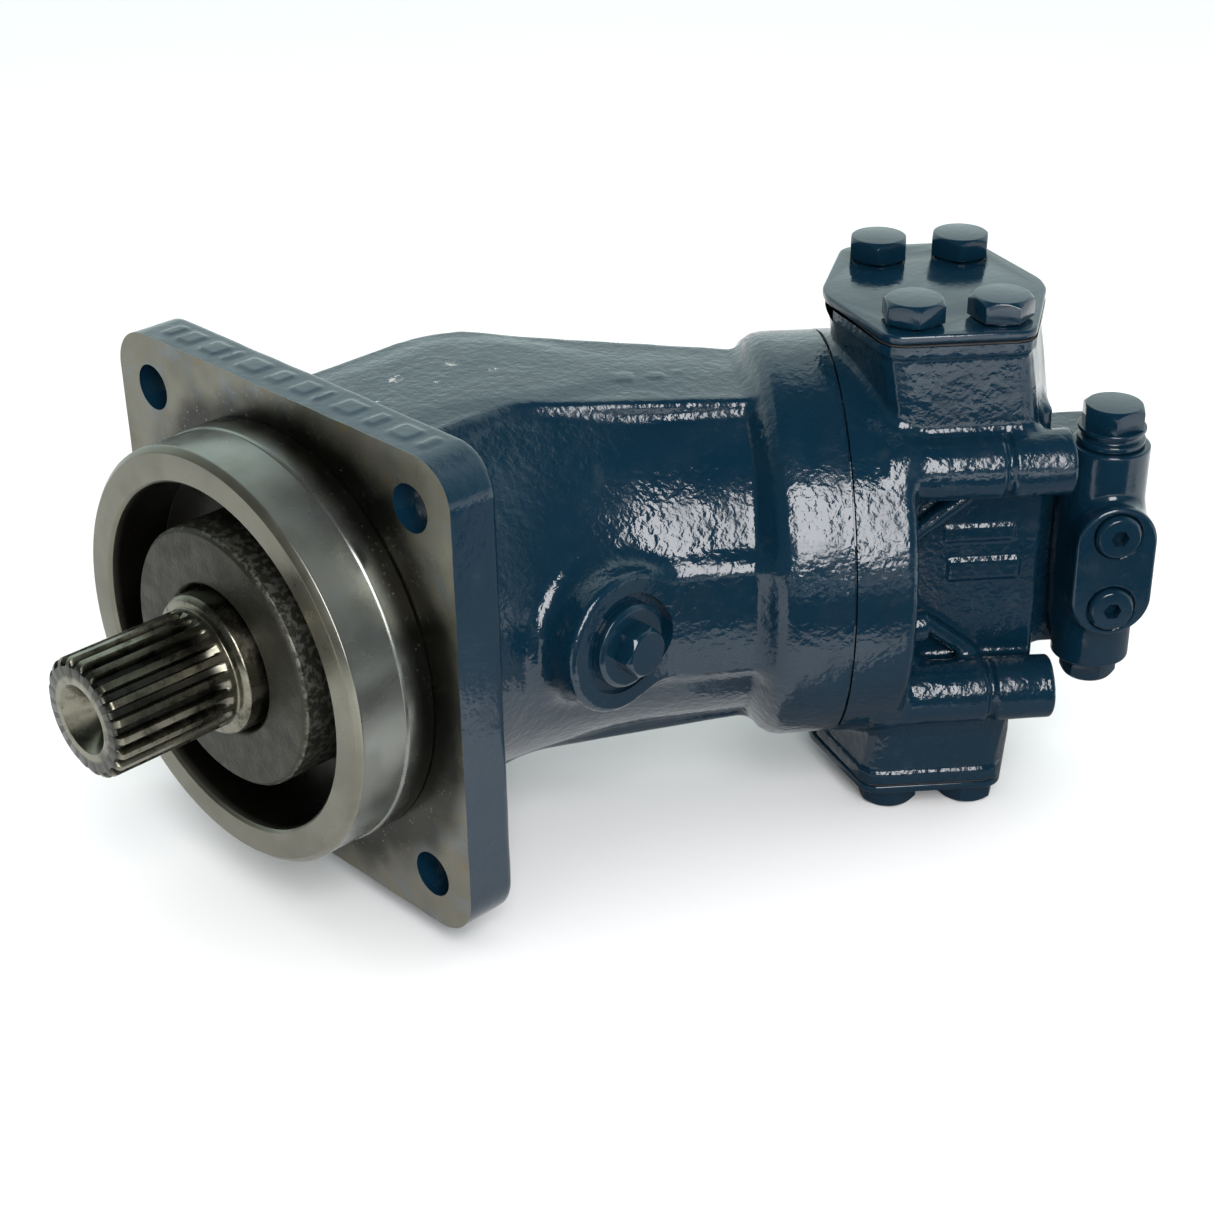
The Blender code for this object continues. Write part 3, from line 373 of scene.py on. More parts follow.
def eased(profile, radius, closed):
    """Round the corners of a profile with short arcs."""
    points = [Vector(point) for point in profile]
    count = len(points)
    result = []
    for i, here in enumerate(points):
        if not closed and i in (0, count - 1):
            result.append(here)
            continue
        back = points[i - 1] - here
        ahead = points[(i + 1) % count] - here
        reach = min(radius, 0.45 * back.length, 0.45 * ahead.length)
        start = here + back.normalized() * reach
        end = here + ahead.normalized() * reach
        for share in (0.0, 0.25, 0.5, 0.75, 1.0):
            one = start.lerp(here, share)
            two = here.lerp(end, share)
            result.append(one.lerp(two, share))
    return result


def row_of(shape, radii, height):
    """A row of vertices round the axis, or the pole alone where the radius is nothing."""
    if radii[0] < 1e-7:
        return [shape.verts.new((0, 0, height))]
    row = []
    for i, radius in enumerate(radii):
        turn = 2 * math.pi * i / len(radii)
        row.append(shape.verts.new((radius * math.cos(turn), radius * math.sin(turn), height)))
    return row


def bridge(shape, lower, upper):
    """Faces between two rows; a row of one vertex is a pole."""
    steps = max(len(lower), len(upper))
    for i in range(steps):
        j = (i + 1) % steps
        if steps == 1:
            continue
        if len(lower) == 1:
            shape.faces.new((lower[0], upper[j], upper[i]))
        elif len(upper) == 1:
            shape.faces.new((lower[i], lower[j], upper[0]))
        else:
            shape.faces.new((lower[i], lower[j], upper[j], upper[i]))


def turned(name, profile, place, steps=96, edge=0.0004, ring=False):
    """Revolve (radius, height) points about Z; an open profile starts and ends on the axis."""
    shape = bmesh.new()
    rows = [row_of(shape, [point.x] * steps, point.y) for point in eased(profile, edge, ring)]
    for lower, upper in zip(rows, rows[1:] + (rows[:1] if ring else [])):
        bridge(shape, lower, upper)
    return from_shape(name, shape, place)


def prism(name, outline, low, high, place):
    """An outline extruded along Z."""
    shape = bmesh.new()
    bottom = [shape.verts.new((x, y, low)) for x, y in outline]
    top = [shape.verts.new((x, y, high)) for x, y in outline]
    for i in range(len(outline)):
        j = (i + 1) % len(outline)
        shape.faces.new((bottom[i], bottom[j], top[j], top[i]))
    shape.faces.new(bottom[::-1])
    shape.faces.new(top)
    return from_shape(name, shape, place)


def ring_of(count, radius, first=0.0):
    """Points on a circle."""
    turns = [first + 2 * math.pi * i / count for i in range(count)]
    return [(radius * math.cos(t), radius * math.sin(t)) for t in turns]


def hexagon(name, flats, low, high, place, turn=0.0):
    """A sharp hexagonal prism along Z."""
    return prism(name, ring_of(6, flats / math.sqrt(3), turn), low, high, place)


def bake(obj):
    """Replace a mesh by what its modifiers make of it."""
    graph = bpy.context.evaluated_depsgraph_get()
    made = bpy.data.meshes.new_from_object(obj.evaluated_get(graph))
    obj.modifiers.clear()
    obj.data = made
    return obj


def soften(obj, width, segments=3):
    """Bevel the sharp edges."""
    bevel = obj.modifiers.new("Edge", "BEVEL")
    bevel.width = width
    bevel.segments = segments
    bevel.limit_method = "ANGLE"
    bevel.angle_limit = math.radians(28)
    return bake(obj)


def combine(obj, operation, others):
    """Boolean with helper shapes, which are used up."""
    for other in others:
        change = obj.modifiers.new(other.name, "BOOLEAN")
        change.operation = operation
        change.solver = "EXACT"
        change.object = other
    bpy.context.view_layer.update()
    bake(obj)
    for other in others:
        bpy.data.objects.remove(other, do_unlink=True)
    return obj


def join(obj, others):
    """Merge other meshes into the first object, each keeping its material."""
    whole = bmesh.new()
    whole.from_mesh(obj.data)
    looks = list(obj.data.materials)
    for other in others:
        part = other.data.copy()
        offset = len(looks)
        looks += list(other.data.materials)
        before = len(whole.faces)
        whole.from_mesh(part)
        whole.faces.ensure_lookup_table()
        for face in whole.faces[before:]:
            face.material_index += offset
        bpy.data.meshes.remove(part)
        bpy.data.objects.remove(other, do_unlink=True)
    for look in looks[len(obj.data.materials):]:
        obj.data.materials.append(look)
    whole.to_mesh(obj.data)
    whole.free()
    return obj


def shade(obj, angle=30):
    """Smooth faces with sharp edges where they meet at more than the angle."""
    obj.data.shade_smooth()
    obj.data.set_sharp_from_angle(angle=math.radians(angle))
    return obj


def dress(obj, look):
    """Give a whole piece one material."""
    obj.data.materials.clear()
    obj.data.materials.append(look)
    return obj


def finish_piece(obj, body, slot, *nodes, angle=30):
    """Attach a piece to its body and let it stand for its CAD nodes."""
    shade(obj, angle)
    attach(obj, body)
    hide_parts(*nodes)
    return obj


# ---------------------------------------------------------------- materials
class Nodes:
    """A short way to write a node tree."""

    def __init__(self, name):
        self.look = bpy.data.materials.new(name)
        self.look.use_nodes = True
        self.tree = self.look.node_tree
        self.shader = self.tree.nodes["Principled BSDF"]
        place = self.add("ShaderNodeTexCoord")
        shift = self.add("ShaderNodeVectorMath", operation="SUBTRACT")
        self.link(place.outputs["Object"], shift.inputs[0])
        shift.inputs[1].default_value = ORIGIN
        self.place = shift.outputs[0]

    def add(self, kind, **settings):
        node = self.tree.nodes.new(kind)
        for key, value in settings.items():
            setattr(node, key, value)
        return node

    def link(self, source, target):
        self.tree.links.new(source, target)

    def set(self, target, value):
        """Link a socket, or set a number or a colour."""
        if isinstance(value, bpy.types.NodeSocket):
            self.link(value, target)
        elif isinstance(value, tuple) and len(value) == 3 and target.type == "RGBA":
            target.default_value = (*value, 1)
        else:
            target.default_value = value

    def noise(self, size, detail=3.0, rough=0.55, warp=0.0, at=None):
        """Noise with features about size metres across."""
        node = self.add("ShaderNodeTexNoise")
        self.link(at or self.place, node.inputs["Vector"])
        node.inputs["Scale"].default_value = 1 / size
        node.inputs["Detail"].default_value = detail
        node.inputs["Roughness"].default_value = rough
        node.inputs["Distortion"].default_value = warp
        return node.outputs["Fac"]

    def cells(self, size):
        """Distance to the nearest of scattered points, size metres apart."""
        node = self.add("ShaderNodeTexVoronoi")
        self.link(self.place, node.inputs["Vector"])
        node.inputs["Scale"].default_value = 1 / size
        return node.outputs["Distance"]

    def step(self, value, low, high, bottom=0.0, top=1.0):
        """Map value from low..high to bottom..top, smoothly and clamped."""
        node = self.add("ShaderNodeMapRange", interpolation_type="SMOOTHSTEP")
        for name, number in (("Value", value), ("From Min", low), ("From Max", high),
                             ("To Min", bottom), ("To Max", top)):
            self.set(node.inputs[name], number)
        return node.outputs[0]

    def math(self, operation, one, two=0.0):
        node = self.add("ShaderNodeMath", operation=operation)
        self.set(node.inputs[0], one)
        self.set(node.inputs[1], two)
        return node.outputs[0]

    def times(self, one, two):
        return self.math("MULTIPLY", one, two)

    def plus(self, one, two):
        return self.math("ADD", one, two)

    def away(self, value, middle):
        """How far a value is from a middle one."""
        return self.math("ABSOLUTE", self.math("SUBTRACT", value, middle))

    def mix(self, share, one, two):
        """Blend two colours."""
        node = self.add("ShaderNodeMix", data_type="RGBA")
        self.set(node.inputs[0], share)
        self.set(node.inputs[6], one)
        self.set(node.inputs[7], two)
        return node.outputs[2]

    def parts(self):
        """X, Y and Z in the motor frame, and the distance from the shaft axis."""
        node = self.add("ShaderNodeSeparateXYZ")
        self.link(self.place, node.inputs[0])
        x, y, z = node.outputs
        radius = self.math("SQRT", self.plus(self.times(y, y), self.times(z, z)))
        return x, y, z, radius

    def vector(self, x, y, z):
        node = self.add("ShaderNodeCombineXYZ")
        for socket, value in zip(node.inputs, (x, y, z)):
            self.set(socket, value)
        return node.outputs[0]

    def near(self, spot, reach):
        """One at a spot in the motor frame, falling to zero at reach."""
        node = self.add("ShaderNodeVectorMath", operation="DISTANCE")
        self.link(self.place, node.inputs[0])
        node.inputs[1].default_value = spot
        return self.step(node.outputs["Value"], 0.0, reach, 1.0, 0.0)

    def bump(self, height, distance):
        """Surface relief that is distance metres deep."""
        node = self.add("ShaderNodeBump")
        node.inputs["Strength"].default_value = 1.0
        node.inputs["Distance"].default_value = distance
        self.link(height, node.inputs["Height"])
        return node.outputs[0]

    def finish(self, **sockets):
        for name, value in sockets.items():
            self.set(self.shader.inputs[name.replace("_", " ")], value)
        return self.look


PAINT_DARK = (0.0015, 0.0120, 0.0250)
PAINT_LIGHT = (0.0028, 0.0175, 0.0320)
CHIPPED = (0.50, 0.50, 0.47)
DUST = (0.10, 0.12, 0.12)


def paint(name, grain, chips=()):
    """Glossy navy paint; grain is the height of the cast texture under it in metres."""
    n = Nodes(name)
    tone = n.mix(n.noise(0.030), PAINT_DARK, PAINT_LIGHT)
    dust = n.step(n.noise(0.012, 5.0, 0.7), 0.56, 0.80, 0.0, 0.10)
    tone = n.mix(dust, tone, DUST)
    rough = n.step(n.noise(0.016, 4.0), 0.35, 0.75, 0.10, 0.24)
    peel = n.times(n.noise(0.0032, 2.0, 0.5, 0.4), 0.75)
    lumps = n.times(n.noise(0.0085, 2.0), 0.85)
    fine = n.times(n.noise(0.0012, 1.0), 0.10)
    height = n.plus(n.plus(peel, lumps), fine)
    along = n.parts()[0]
    height = n.times(height, n.step(along, FLANGE_THICK, FLANGE_THICK + 0.004, 0.40, 1.0))
    for spot, reach in chips:
        chip = n.times(n.near(spot, reach), n.step(n.noise(0.0022, 5.0, 0.8), 0.46, 0.62))
        chip = n.step(chip, 0.25, 0.55, 0.0, 0.75)
        tone = n.mix(chip, tone, CHIPPED)
        rough = n.plus(rough, n.times(chip, 0.4))
    return n.finish(Base_Color=tone, Roughness=rough, Normal=n.bump(height, grain))


def bare_iron(name):
    """Machined cast iron of flange face and ring: turned marks, stains, oil in the corner, and painted
    shade in the bore.
    """
    n = Nodes(name)
    x, y, _, radius = n.parts()
    tone = n.mix(n.noise(0.028, 4.0), (0.125, 0.120, 0.092), (0.205, 0.198, 0.160))
    behind_face = n.step(x, 0.0005 - GUIDE_LENGTH, 0.0040 - GUIDE_LENGTH)
    blue = n.step(n.noise(0.016, 3.0, 0.6, 0.4), 0.50, 0.68, 0.0, 0.55)
    tone = n.mix(n.times(blue, behind_face), tone, (0.150, 0.185, 0.215))
    rust = n.step(n.noise(0.011, 3.0, 0.6), 0.58, 0.74, 0.0, 0.50)
    tone = n.mix(n.times(rust, behind_face), tone, (0.20, 0.15, 0.065))

    corner = n.plus(n.away(radius, PILOT_RADIUS + 0.0015),
                    n.plus(n.away(x, -0.001), n.step(x, -0.030, -0.002, 0.022, 0.0)))
    drip = n.times(n.math("SUBTRACT", n.noise(0.020, 2.0, 0.4), 0.5), 0.022)
    ragged = n.plus(n.math("SUBTRACT", corner, n.step(y, -0.070, 0.010, 0.0090, 0.0)), drip)
    oil = n.step(ragged, 0.0, 0.0150, 1.0, 0.0)
    tone = n.mix(n.times(oil, 0.90), tone, (0.009, 0.009, 0.0075))
    specks = n.times(n.step(n.cells(0.0021), 0.14, 0.24, 1.0, 0.0),
                     n.step(corner, 0.004, 0.018, 1.0, 0.0))
    specks = n.times(specks, n.step(n.noise(0.006), 0.42, 0.60))
    tone = n.mix(n.times(specks, 0.50), tone, (0.30, 0.32, 0.30))

    outside = n.times(n.step(radius, 0.0770, 0.0785), n.step(x, 0.0010 - GUIDE_LENGTH,
                                                             0.0035 - GUIDE_LENGTH))
    band = n.times(outside, n.step(x, -0.0130, -0.0040, 0.60, 0.0))
    tone = n.mix(band, tone, (0.27, 0.29, 0.28))
    film = n.step(n.noise(0.030, 3.0), 0.45, 0.65, 0.0, 0.30)
    tone = n.mix(film, tone, (0.060, 0.058, 0.044))
    # Painted shade, with some dirt: the bore and every face inside its radius behind the front face go
    # nearly black.
    inside = n.times(n.step(radius, NOSE_BORE + 0.0003, NOSE_BORE + 0.0009, 1.0, 0.0),
                     n.step(x, 0.0008 - GUIDE_LENGTH, 0.0050 - GUIDE_LENGTH))
    tone = n.mix(n.times(inside, 0.95), tone, (0.010, 0.009, 0.007))

    rough = n.step(n.noise(0.022, 4.0), 0.3, 0.7, 0.24, 0.38)
    rough = n.math("SUBTRACT", rough, n.times(oil, 0.10))
    marks = n.noise(0.00035, 2.0, at=n.vector(x, radius, 0.0))
    pits = n.noise(0.0012, 3.0, 0.7)
    height = n.plus(n.times(marks, 0.5), n.times(pits, 0.6))
    return n.finish(Base_Color=tone, Metallic=0.9, Roughness=rough, Normal=n.bump(height, 0.00003))


def cast_disc(name):
    """Front cover: sooty cast surface with worn bright edges."""
    n = Nodes(name)
    radius = n.parts()[3]
    tone = n.mix(n.noise(0.010, 5.0, 0.65), (0.016, 0.016, 0.012), (0.052, 0.052, 0.038))
    worn = n.times(n.step(radius, 0.0482, 0.0492, 0.0, 0.45), n.step(n.noise(0.0025, 3.0), 0.45, 0.6))
    tone = n.mix(worn, tone, (0.20, 0.20, 0.18))
    rough = n.step(n.noise(0.006, 4.0), 0.3, 0.7, 0.40, 0.55)
    height = n.plus(n.noise(0.0016, 3.0), n.noise(0.0006, 2.0))
    return n.finish(Base_Color=tone, Metallic=0.75, Roughness=rough, Normal=n.bump(height, 0.00016))


def steel(name, light=(0.250, 0.240, 0.190), dark=(0.120, 0.115, 0.085), shine=0.26, grime_and_root_shade=0.75):
    """Ground steel with a thin oil film, turning marks about the shaft axis, and painted shade in the
    spline roots.
    """
    n = Nodes(name)
    x, _, _, radius = n.parts()
    tone = n.mix(n.noise(0.012, 4.0), dark, light)
    grime = n.step(n.noise(0.008, 5.0, 0.7), 0.48, 0.66, 0.0, grime_and_root_shade)
    tone = n.mix(grime, tone, (0.022, 0.020, 0.014))
    # Painted shade: the spline roots are darkened and the tooth tips left bright.
    groove = n.step(radius, SPLINE_ROOT + 0.0002, SPLINE_TIP - 0.0002, grime_and_root_shade, 0.0)
    toothed = n.times(n.step(x, SPLINE_END - 0.0008, SPLINE_END + 0.0012, 1.0, 0.0),
                      n.step(radius, 0.0150, 0.0165))
    tone = n.mix(n.times(groove, toothed), tone, (0.012, 0.014, 0.016))
    rough = n.step(n.noise(0.010, 3.0), 0.3, 0.7, shine - 0.06, shine + 0.10)
    marks = n.noise(0.00030, 2.0, at=n.vector(x, radius, 0.0))
    height = n.plus(n.times(marks, 0.4), n.times(n.noise(0.0010), 0.4))
    return n.finish(Base_Color=tone, Metallic=1.0, Roughness=rough, Normal=n.bump(height, 0.00002))


def plain(name, light, dark, rough, metallic):
    """A simple mottled material for hidden or small parts."""
    n = Nodes(name)
    tone = n.mix(n.noise(0.012, 4.0), dark, light)
    gloss = n.step(n.noise(0.008, 3.0), 0.3, 0.7, rough * 0.8, rough * 1.25)
    return n.finish(Base_Color=tone, Metallic=metallic, Roughness=gloss,
                    Normal=n.bump(n.noise(0.004 / 3, 3.0), 0.00004))


CHIPS = [((0.062, 0.008, PLATEAU_HIGH), 0.007), ((0.070, -0.006, PLATEAU_HIGH), 0.004),
         ((0.085, 0.004, PLATEAU_HIGH), 0.006), ((0.094, -0.010, PLATEAU_HIGH), 0.004),
         ((0.044, -0.004, PLATEAU_HIGH), 0.004)]
CAST_PAINT = paint("navy_paint_on_casting", 0.00042, CHIPS)
SMOOTH_PAINT = paint("navy_paint_on_machined", 0.00010)
BARE_IRON = bare_iron("machined_cast_iron")
DISC_IRON = cast_disc("sooty_cast_iron")
SHAFT_STEEL = steel("oily_shaft_steel")
BRIGHT_STEEL = steel("ground_steel", (0.55, 0.54, 0.50), (0.40, 0.39, 0.36), 0.22, 0.1)
BLACK_STEEL = plain("blackened_steel", (0.040, 0.042, 0.045), (0.012, 0.013, 0.014), 0.35, 0.8)
BRONZE = plain("bronze", (0.50, 0.35, 0.15), (0.34, 0.22, 0.09), 0.32, 1.0)
RUBBER = plain("seal_rubber", (0.020, 0.020, 0.020), (0.010, 0.010, 0.010), 0.55, 0.0)
FIBRE = plain("gasket_fibre", (0.020, 0.022, 0.024), (0.010, 0.011, 0.012), 0.75, 0.0)


# ---------------------------------------------------------------- housing
FLANGE_MARKS = [(0.067, 0.072), (0.055, 0.063), (0.040, 0.049), (0.033, 0.036), (0.016, 0.027),
                (0.003, 0.010), (-0.012, -0.004), (-0.019, -0.017), (-0.037, -0.027),
                (-0.049, -0.044), (-0.066, -0.056), (-0.075, -0.071)]
HOUSING_MARKS = [(0.058, -0.008, 0.0045), (0.071, -0.006, 0.0035), (0.080, -0.002, 0.0020)]


def plateau_field(p, elbow):
    """The flat raised band on top and bottom, over the bearings and along the barrel."""
    along = np.clip(elbow[:, 0], 0, PLATEAU_END)
    drop = (PLATEAU_HIGH - PLATEAU_LOW) * along / PLATEAU_END
    over_bearings = np.maximum(np.abs(p[:, 1]) - PLATEAU_HALF, np.abs(p[:, 0] - 0.050) - 0.0385)
    over_bend = np.hypot(elbow[:, 0], elbow[:, 1]) - PLATEAU_HALF
    half = PLATEAU_HALF - 0.0015 - 0.011 * along / PLATEAU_END
    over_barrel = np.maximum(np.abs(elbow[:, 1]) - half, np.abs(elbow[:, 0] - 0.053) - 0.055)
    flat = blend(blend(over_bearings, over_bend, 0.002), over_barrel, 0.004)
    return slab(flat, np.abs(p[:, 2]) + drop, PLATEAU_HIGH, 0.0028), drop


def housing_field(points):
    """Outer skin of the housing, extended past its machined faces, less its hollow."""
    p = local(points, MOTOR)
    elbow = local(points, ELBOW)
    barrel = local(points, BARREL)
    drain = local(points, DRAIN)
    rear = local(points, REAR_DRAIN)

    body = bar(p, (0.030, 0, 0), (BEND_X, 0, 0), BEARING_BODY)
    cone = turned_field(barrel, [
        (0.0690, -0.010), (0.0742, 0.001), (0.0668, 0.100), (0.0668, 0.1030), (0.0680, 0.1042),
        (0.0714, 0.1066), (0.0752, 0.1095), (0.0771, 0.1125), (0.0777, 0.1160),
        (0.0777, JOINT_AT + 0.005),
    ], 0.0010)
    inner_side = np.clip(0.5 - p[:, 1] / 0.060, 0, 1)
    skin = blend(body, cone, 0.002 + 0.014 * inner_side)
    plateau, drop = plateau_field(p, elbow)
    above = np.maximum(PLATEAU_HIGH - drop - np.abs(p[:, 2]), elbow[:, 0] - 0.100)
    skin = carve(skin, above, 0.0015)
    skin = blend(skin, plateau, 0.0040)

    corner = np.abs(p[:, 1:]) - FLANGE_HALF + FLANGE_CORNER
    flat = np.linalg.norm(np.maximum(corner, 0), axis=1) + np.minimum(corner.max(axis=1), 0)
    flange = slab(flat - FLANGE_CORNER, p[:, 0] - (FLANGE_THICK - 0.008) / 2,
                  (FLANGE_THICK + 0.008) / 2, 0.0022)
    skin = blend(skin, flange, 0.007)

    pad = block(elbow, (0.030, -SIDE_PAD, -0.0215), (0.1130, -0.030, 0.0215), 0.0035)
    boss = rod(drain, DRAIN_BOSS, 0.040, DRAIN_FACE, 0.0022)
    skin = blend(skin, pad, 0.010)
    skin = blend(skin, boss, 0.008)
    skin = blend(skin, rod(rear, REAR_DRAIN_BOSS, 0.040, REAR_DRAIN_FACE, 0.0020), 0.010)
    for start, end in FLANGE_MARKS:
        bar_field = block(p, (0.0055, start, FLANGE_HALF - 0.002), (0.0145, end, FLANGE_HALF + 0.0005),
                          0.0009)
        skin = blend(skin, bar_field, 0.0010)
    for along, across, size in HOUSING_MARKS:
        top = PLATEAU_HIGH - (PLATEAU_HIGH - PLATEAU_LOW) * along / PLATEAU_END
        mark = block(elbow, (along - size, across - size * 0.8, top - 0.002),
                     (along + size, across + size * 0.8, top + 0.0008), 0.0011)
        skin = blend(skin, mark, 0.0010)
    skin = skin + 0.00022 * waves(p, 0.021, 3)
    return carve(skin, housing_hollow(points), 0.0004)


def housing_hollow(points):
    """The room inside: bearing seats, the bend, the barrel's bore and the screw threads."""
    elbow = local(points, ELBOW)
    barrel = local(points, BARREL)
    hollow = np.minimum(np.linalg.norm(elbow, axis=1) - 0.0623, rod(barrel, BARREL_BORE, 0, 0.16))
    hollow = np.minimum(hollow, turned_field(local(points, SHAFT), [
        (SEAT_RADIUS, -0.02), (SEAT_RADIUS, 0.020), (0.0608, 0.020), (0.0608, 0.054),
        (0.062, 0.056), (0.062, BEND_X)]))
    for spot in SCREW_SPOTS:
        hollow = np.minimum(hollow, rod(barrel, 0.0064, 0.1131, 0.16, at=spot))
    return hollow


def drain_cutter(name, place, face, radius):
    """Cutter for the thread and the machined seat of a drain port."""
    thread = DRAIN_THREAD + GAP
    return turned(name, [(0, 0.040), (thread, 0.040), (thread, face - SEAT_DEPTH),
                         (radius, face - SEAT_DEPTH), (radius, face + 0.01), (0, face + 0.01)],
                  place, 72, 0.0)


def make_housing(cell):
    """Painted casting with a bare flange face and the machined nose ring."""
    low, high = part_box("housing")
    skin = casting("housing_casting", housing_field, low, high, cell)
    slice_flat(skin, ORIGIN, (-1, 0, 0))
    slice_flat(skin, BARREL @ Vector((0, 0, JOINT_AT)), BARREL.to_3x3() @ Vector((0, 0, 1)))
    cutters = [drain_cutter("near_seat", DRAIN, DRAIN_FACE, DRAIN_SEAT),
               drain_cutter("far_seat", REAR_DRAIN, REAR_DRAIN_FACE, REAR_DRAIN_SEAT)]
    for i, (y, z) in enumerate([(y, z) for y in (-HOLE, HOLE) for z in (-HOLE, HOLE)]):
        cutters.append(prism(f"flange_hole_{i}", ring_of(64, FLANGE_HOLE), -0.01, FLANGE_THICK + 0.02,
                             SHAFT @ Matrix.Translation((y, z, 0))))
    combine(skin, "DIFFERENCE", cutters)
    skin.data.materials.clear()
    skin.data.materials.append(CAST_PAINT)
    skin.data.materials.append(BARE_IRON)
    centres = np.zeros(len(skin.data.polygons) * 3)
    skin.data.polygons.foreach_get("center", centres)
    centres = centres.reshape(-1, 3)
    p = local(centres, MOTOR)
    bare = p[:, 0] < 0.0001
    bare |= in_slices(housing_hollow, centres) < 0.0006
    bare |= local(centres, BARREL)[:, 2] > JOINT_AT - 0.0001
    skin.data.polygons.foreach_set("material_index", bare.astype(np.int32))

    ring = turned("nose_ring", [
        (GUIDE_RADIUS - 0.0022, -GUIDE_LENGTH), (GUIDE_RADIUS, -GUIDE_LENGTH + 0.0022),
        (GUIDE_RADIUS, -PILOT_LENGTH - 0.0006), (PILOT_RADIUS - 0.0004, -PILOT_LENGTH - 0.0006),
        (PILOT_RADIUS, -PILOT_LENGTH + 0.0004), (PILOT_RADIUS, -0.0006), (PILOT_RADIUS - 0.0008, 0.0004),
        (SEAT_RADIUS, 0.0004), (SEAT_RADIUS, NOSE_FLOOR), (NOSE_BORE, NOSE_FLOOR),
        (NOSE_BORE, -GUIDE_LENGTH + 0.0012), (NOSE_BORE + 0.0012, -GUIDE_LENGTH),
    ], SHAFT, 256, 0.0003, ring=True)
    dress(ring, BARE_IRON)
    whole = join(skin, [ring])
    whole.name = "housing_shell"
    return finish_piece(whole, "casing", "navy_paint", "housing", angle=38)


# ---------------------------------------------------------------- port plate
def pad_outline(left=0.0):
    """Corners of a port pad, along and across the barrel; left moves its end by the housing."""
    middle = PORT_AT - 0.001
    return [
        (middle + 0.0415, -0.0045), (middle + 0.0415, 0.0045),
        (middle + 0.0265, 0.0480), (middle - 0.0265, 0.0480),
        (middle - 0.0415 + left, 0.0045), (middle - 0.0415 + left, -0.0045),
        (middle - 0.0265, -0.0480), (middle + 0.0265, -0.0480),
    ]


def side_height(elbow):
    """Height above the barrel's axis, counted alike on the upper and the lower port side."""
    return np.where(elbow[:, 2] > 0, elbow[:, 2], LOWER_DROP - elbow[:, 2])


def pad_field(elbow):
    """Both port pads: walls that lean back from the disc up to a lip under the cover."""
    height = side_height(elbow)
    foot, step = 0.056, PAD_FACE - PAD_LIP
    lean = 0.0055 * np.clip((step - height) / (step - foot), 0, 1)
    outline = rounded(pad_outline(0.0010), PAD_RADII, 3)
    wall = polygon(elbow[:, 0] - lean, elbow[:, 1], outline) + 0.0013
    wall = slab(wall, height - 0.073, 0.027, 0.0)
    lip = slab(polygon(elbow[:, 0], elbow[:, 1], outline), height - step - 0.006, 0.006, 0.0008)
    return blend(wall, lip, 0.002)


def port_plate_field(points):
    """The end casting, extended past its joint face and its two port faces."""
    elbow = local(points, ELBOW)
    barrel = local(points, BARREL)
    disc = rod(barrel, COLLAR_RADIUS, PLATE_AT - 0.006, DISC_END, 0.0042)
    web = block(elbow, (0.140, -WEB_HALF, -0.0585), (WEB_END, WEB_HALF, 0.064), 0.0030)
    rib = block(elbow, (0.145, 0.010, -0.0477), (0.2150, 0.0477, 0.0477), 0.0040)
    lug = block(elbow, (0.200, VALVE_BACK + 2 * GAP, -0.050), (0.2566, 0.024, 0.036), 0.0025)
    skin = blend(blend(disc, web, 0.006), rib, 0.006)
    skin = blend(skin, pad_field(elbow), 0.0045)
    skin = blend(skin, lug, 0.006)
    for spot in SCREW_SPOTS:
        post = rod(barrel, SCREW_BOSS, 0.150, SCREW_END, 0.0012, at=spot)
        groove = np.abs(np.hypot(barrel[:, 0] - spot[0], barrel[:, 1] - spot[1]) - SCREW_BOSS)
        groove = np.hypot(groove, np.abs(barrel[:, 2] - 0.1952)) - 0.0017
        skin = blend(skin, carve(post, groove, 0.0010), 0.0045)
    for sign in (1, -1):
        start = (0.150, -0.0400, sign * 0.004)
        end = (0.190, -0.0385, sign * 0.036)
        skin = blend(skin, bar(elbow, start, end, 0.0034), 0.004)
        skin = blend(skin, bar(elbow, (0.150, -0.058, sign * 0.020), (0.166, -0.0400, sign * 0.036),
                               0.0038), 0.005)
    skin = blend(skin, rod(barrel, 0.0061, 0.150, 0.1680, 0.0008, at=(-0.056, -0.013)), 0.0025)
    skin = blend(skin, block(elbow, (0.180, -0.0357, -0.0065), (0.208, -0.0330, 0.0025), 0.0011), 0.001)
    skin = blend(skin, block(elbow, (0.178, -0.0354, 0.0100), (0.205, -0.0330, 0.0165), 0.0009), 0.001)
    skin = skin + 0.00020 * waves(elbow, 0.017, 5)

    hollow = rod(barrel, 0.0295, 0.12, 0.150)
    height = side_height(elbow)
    port = np.hypot(elbow[:, 0] - PORT_AT, elbow[:, 1]) - PORT_BORE
    hollow = np.minimum(hollow, np.maximum(port, 0.030 - height))
    across = np.abs(elbow[:, 1]) - PORT_ACROSS
    along = np.abs(elbow[:, 0] - PORT_AT) - PORT_ALONG
    hole = np.hypot(along, across) - BOLT_SHANK - 2 * GAP
    hollow = np.minimum(hollow, np.maximum(hole, 0.066 - height))
    for height in (VALVE_SCREW_HIGH, -VALVE_SCREW_HIGH):
        hole = np.hypot(elbow[:, 0] - VALVE_AT, elbow[:, 2] - height)
        hollow = np.minimum(hollow, np.maximum(hole - 0.0038, -0.03 - elbow[:, 1]))
        hollow = np.minimum(hollow, np.maximum(hole - 0.0068, 0.017 - elbow[:, 1]))
    return carve(skin, hollow, 0.0004)


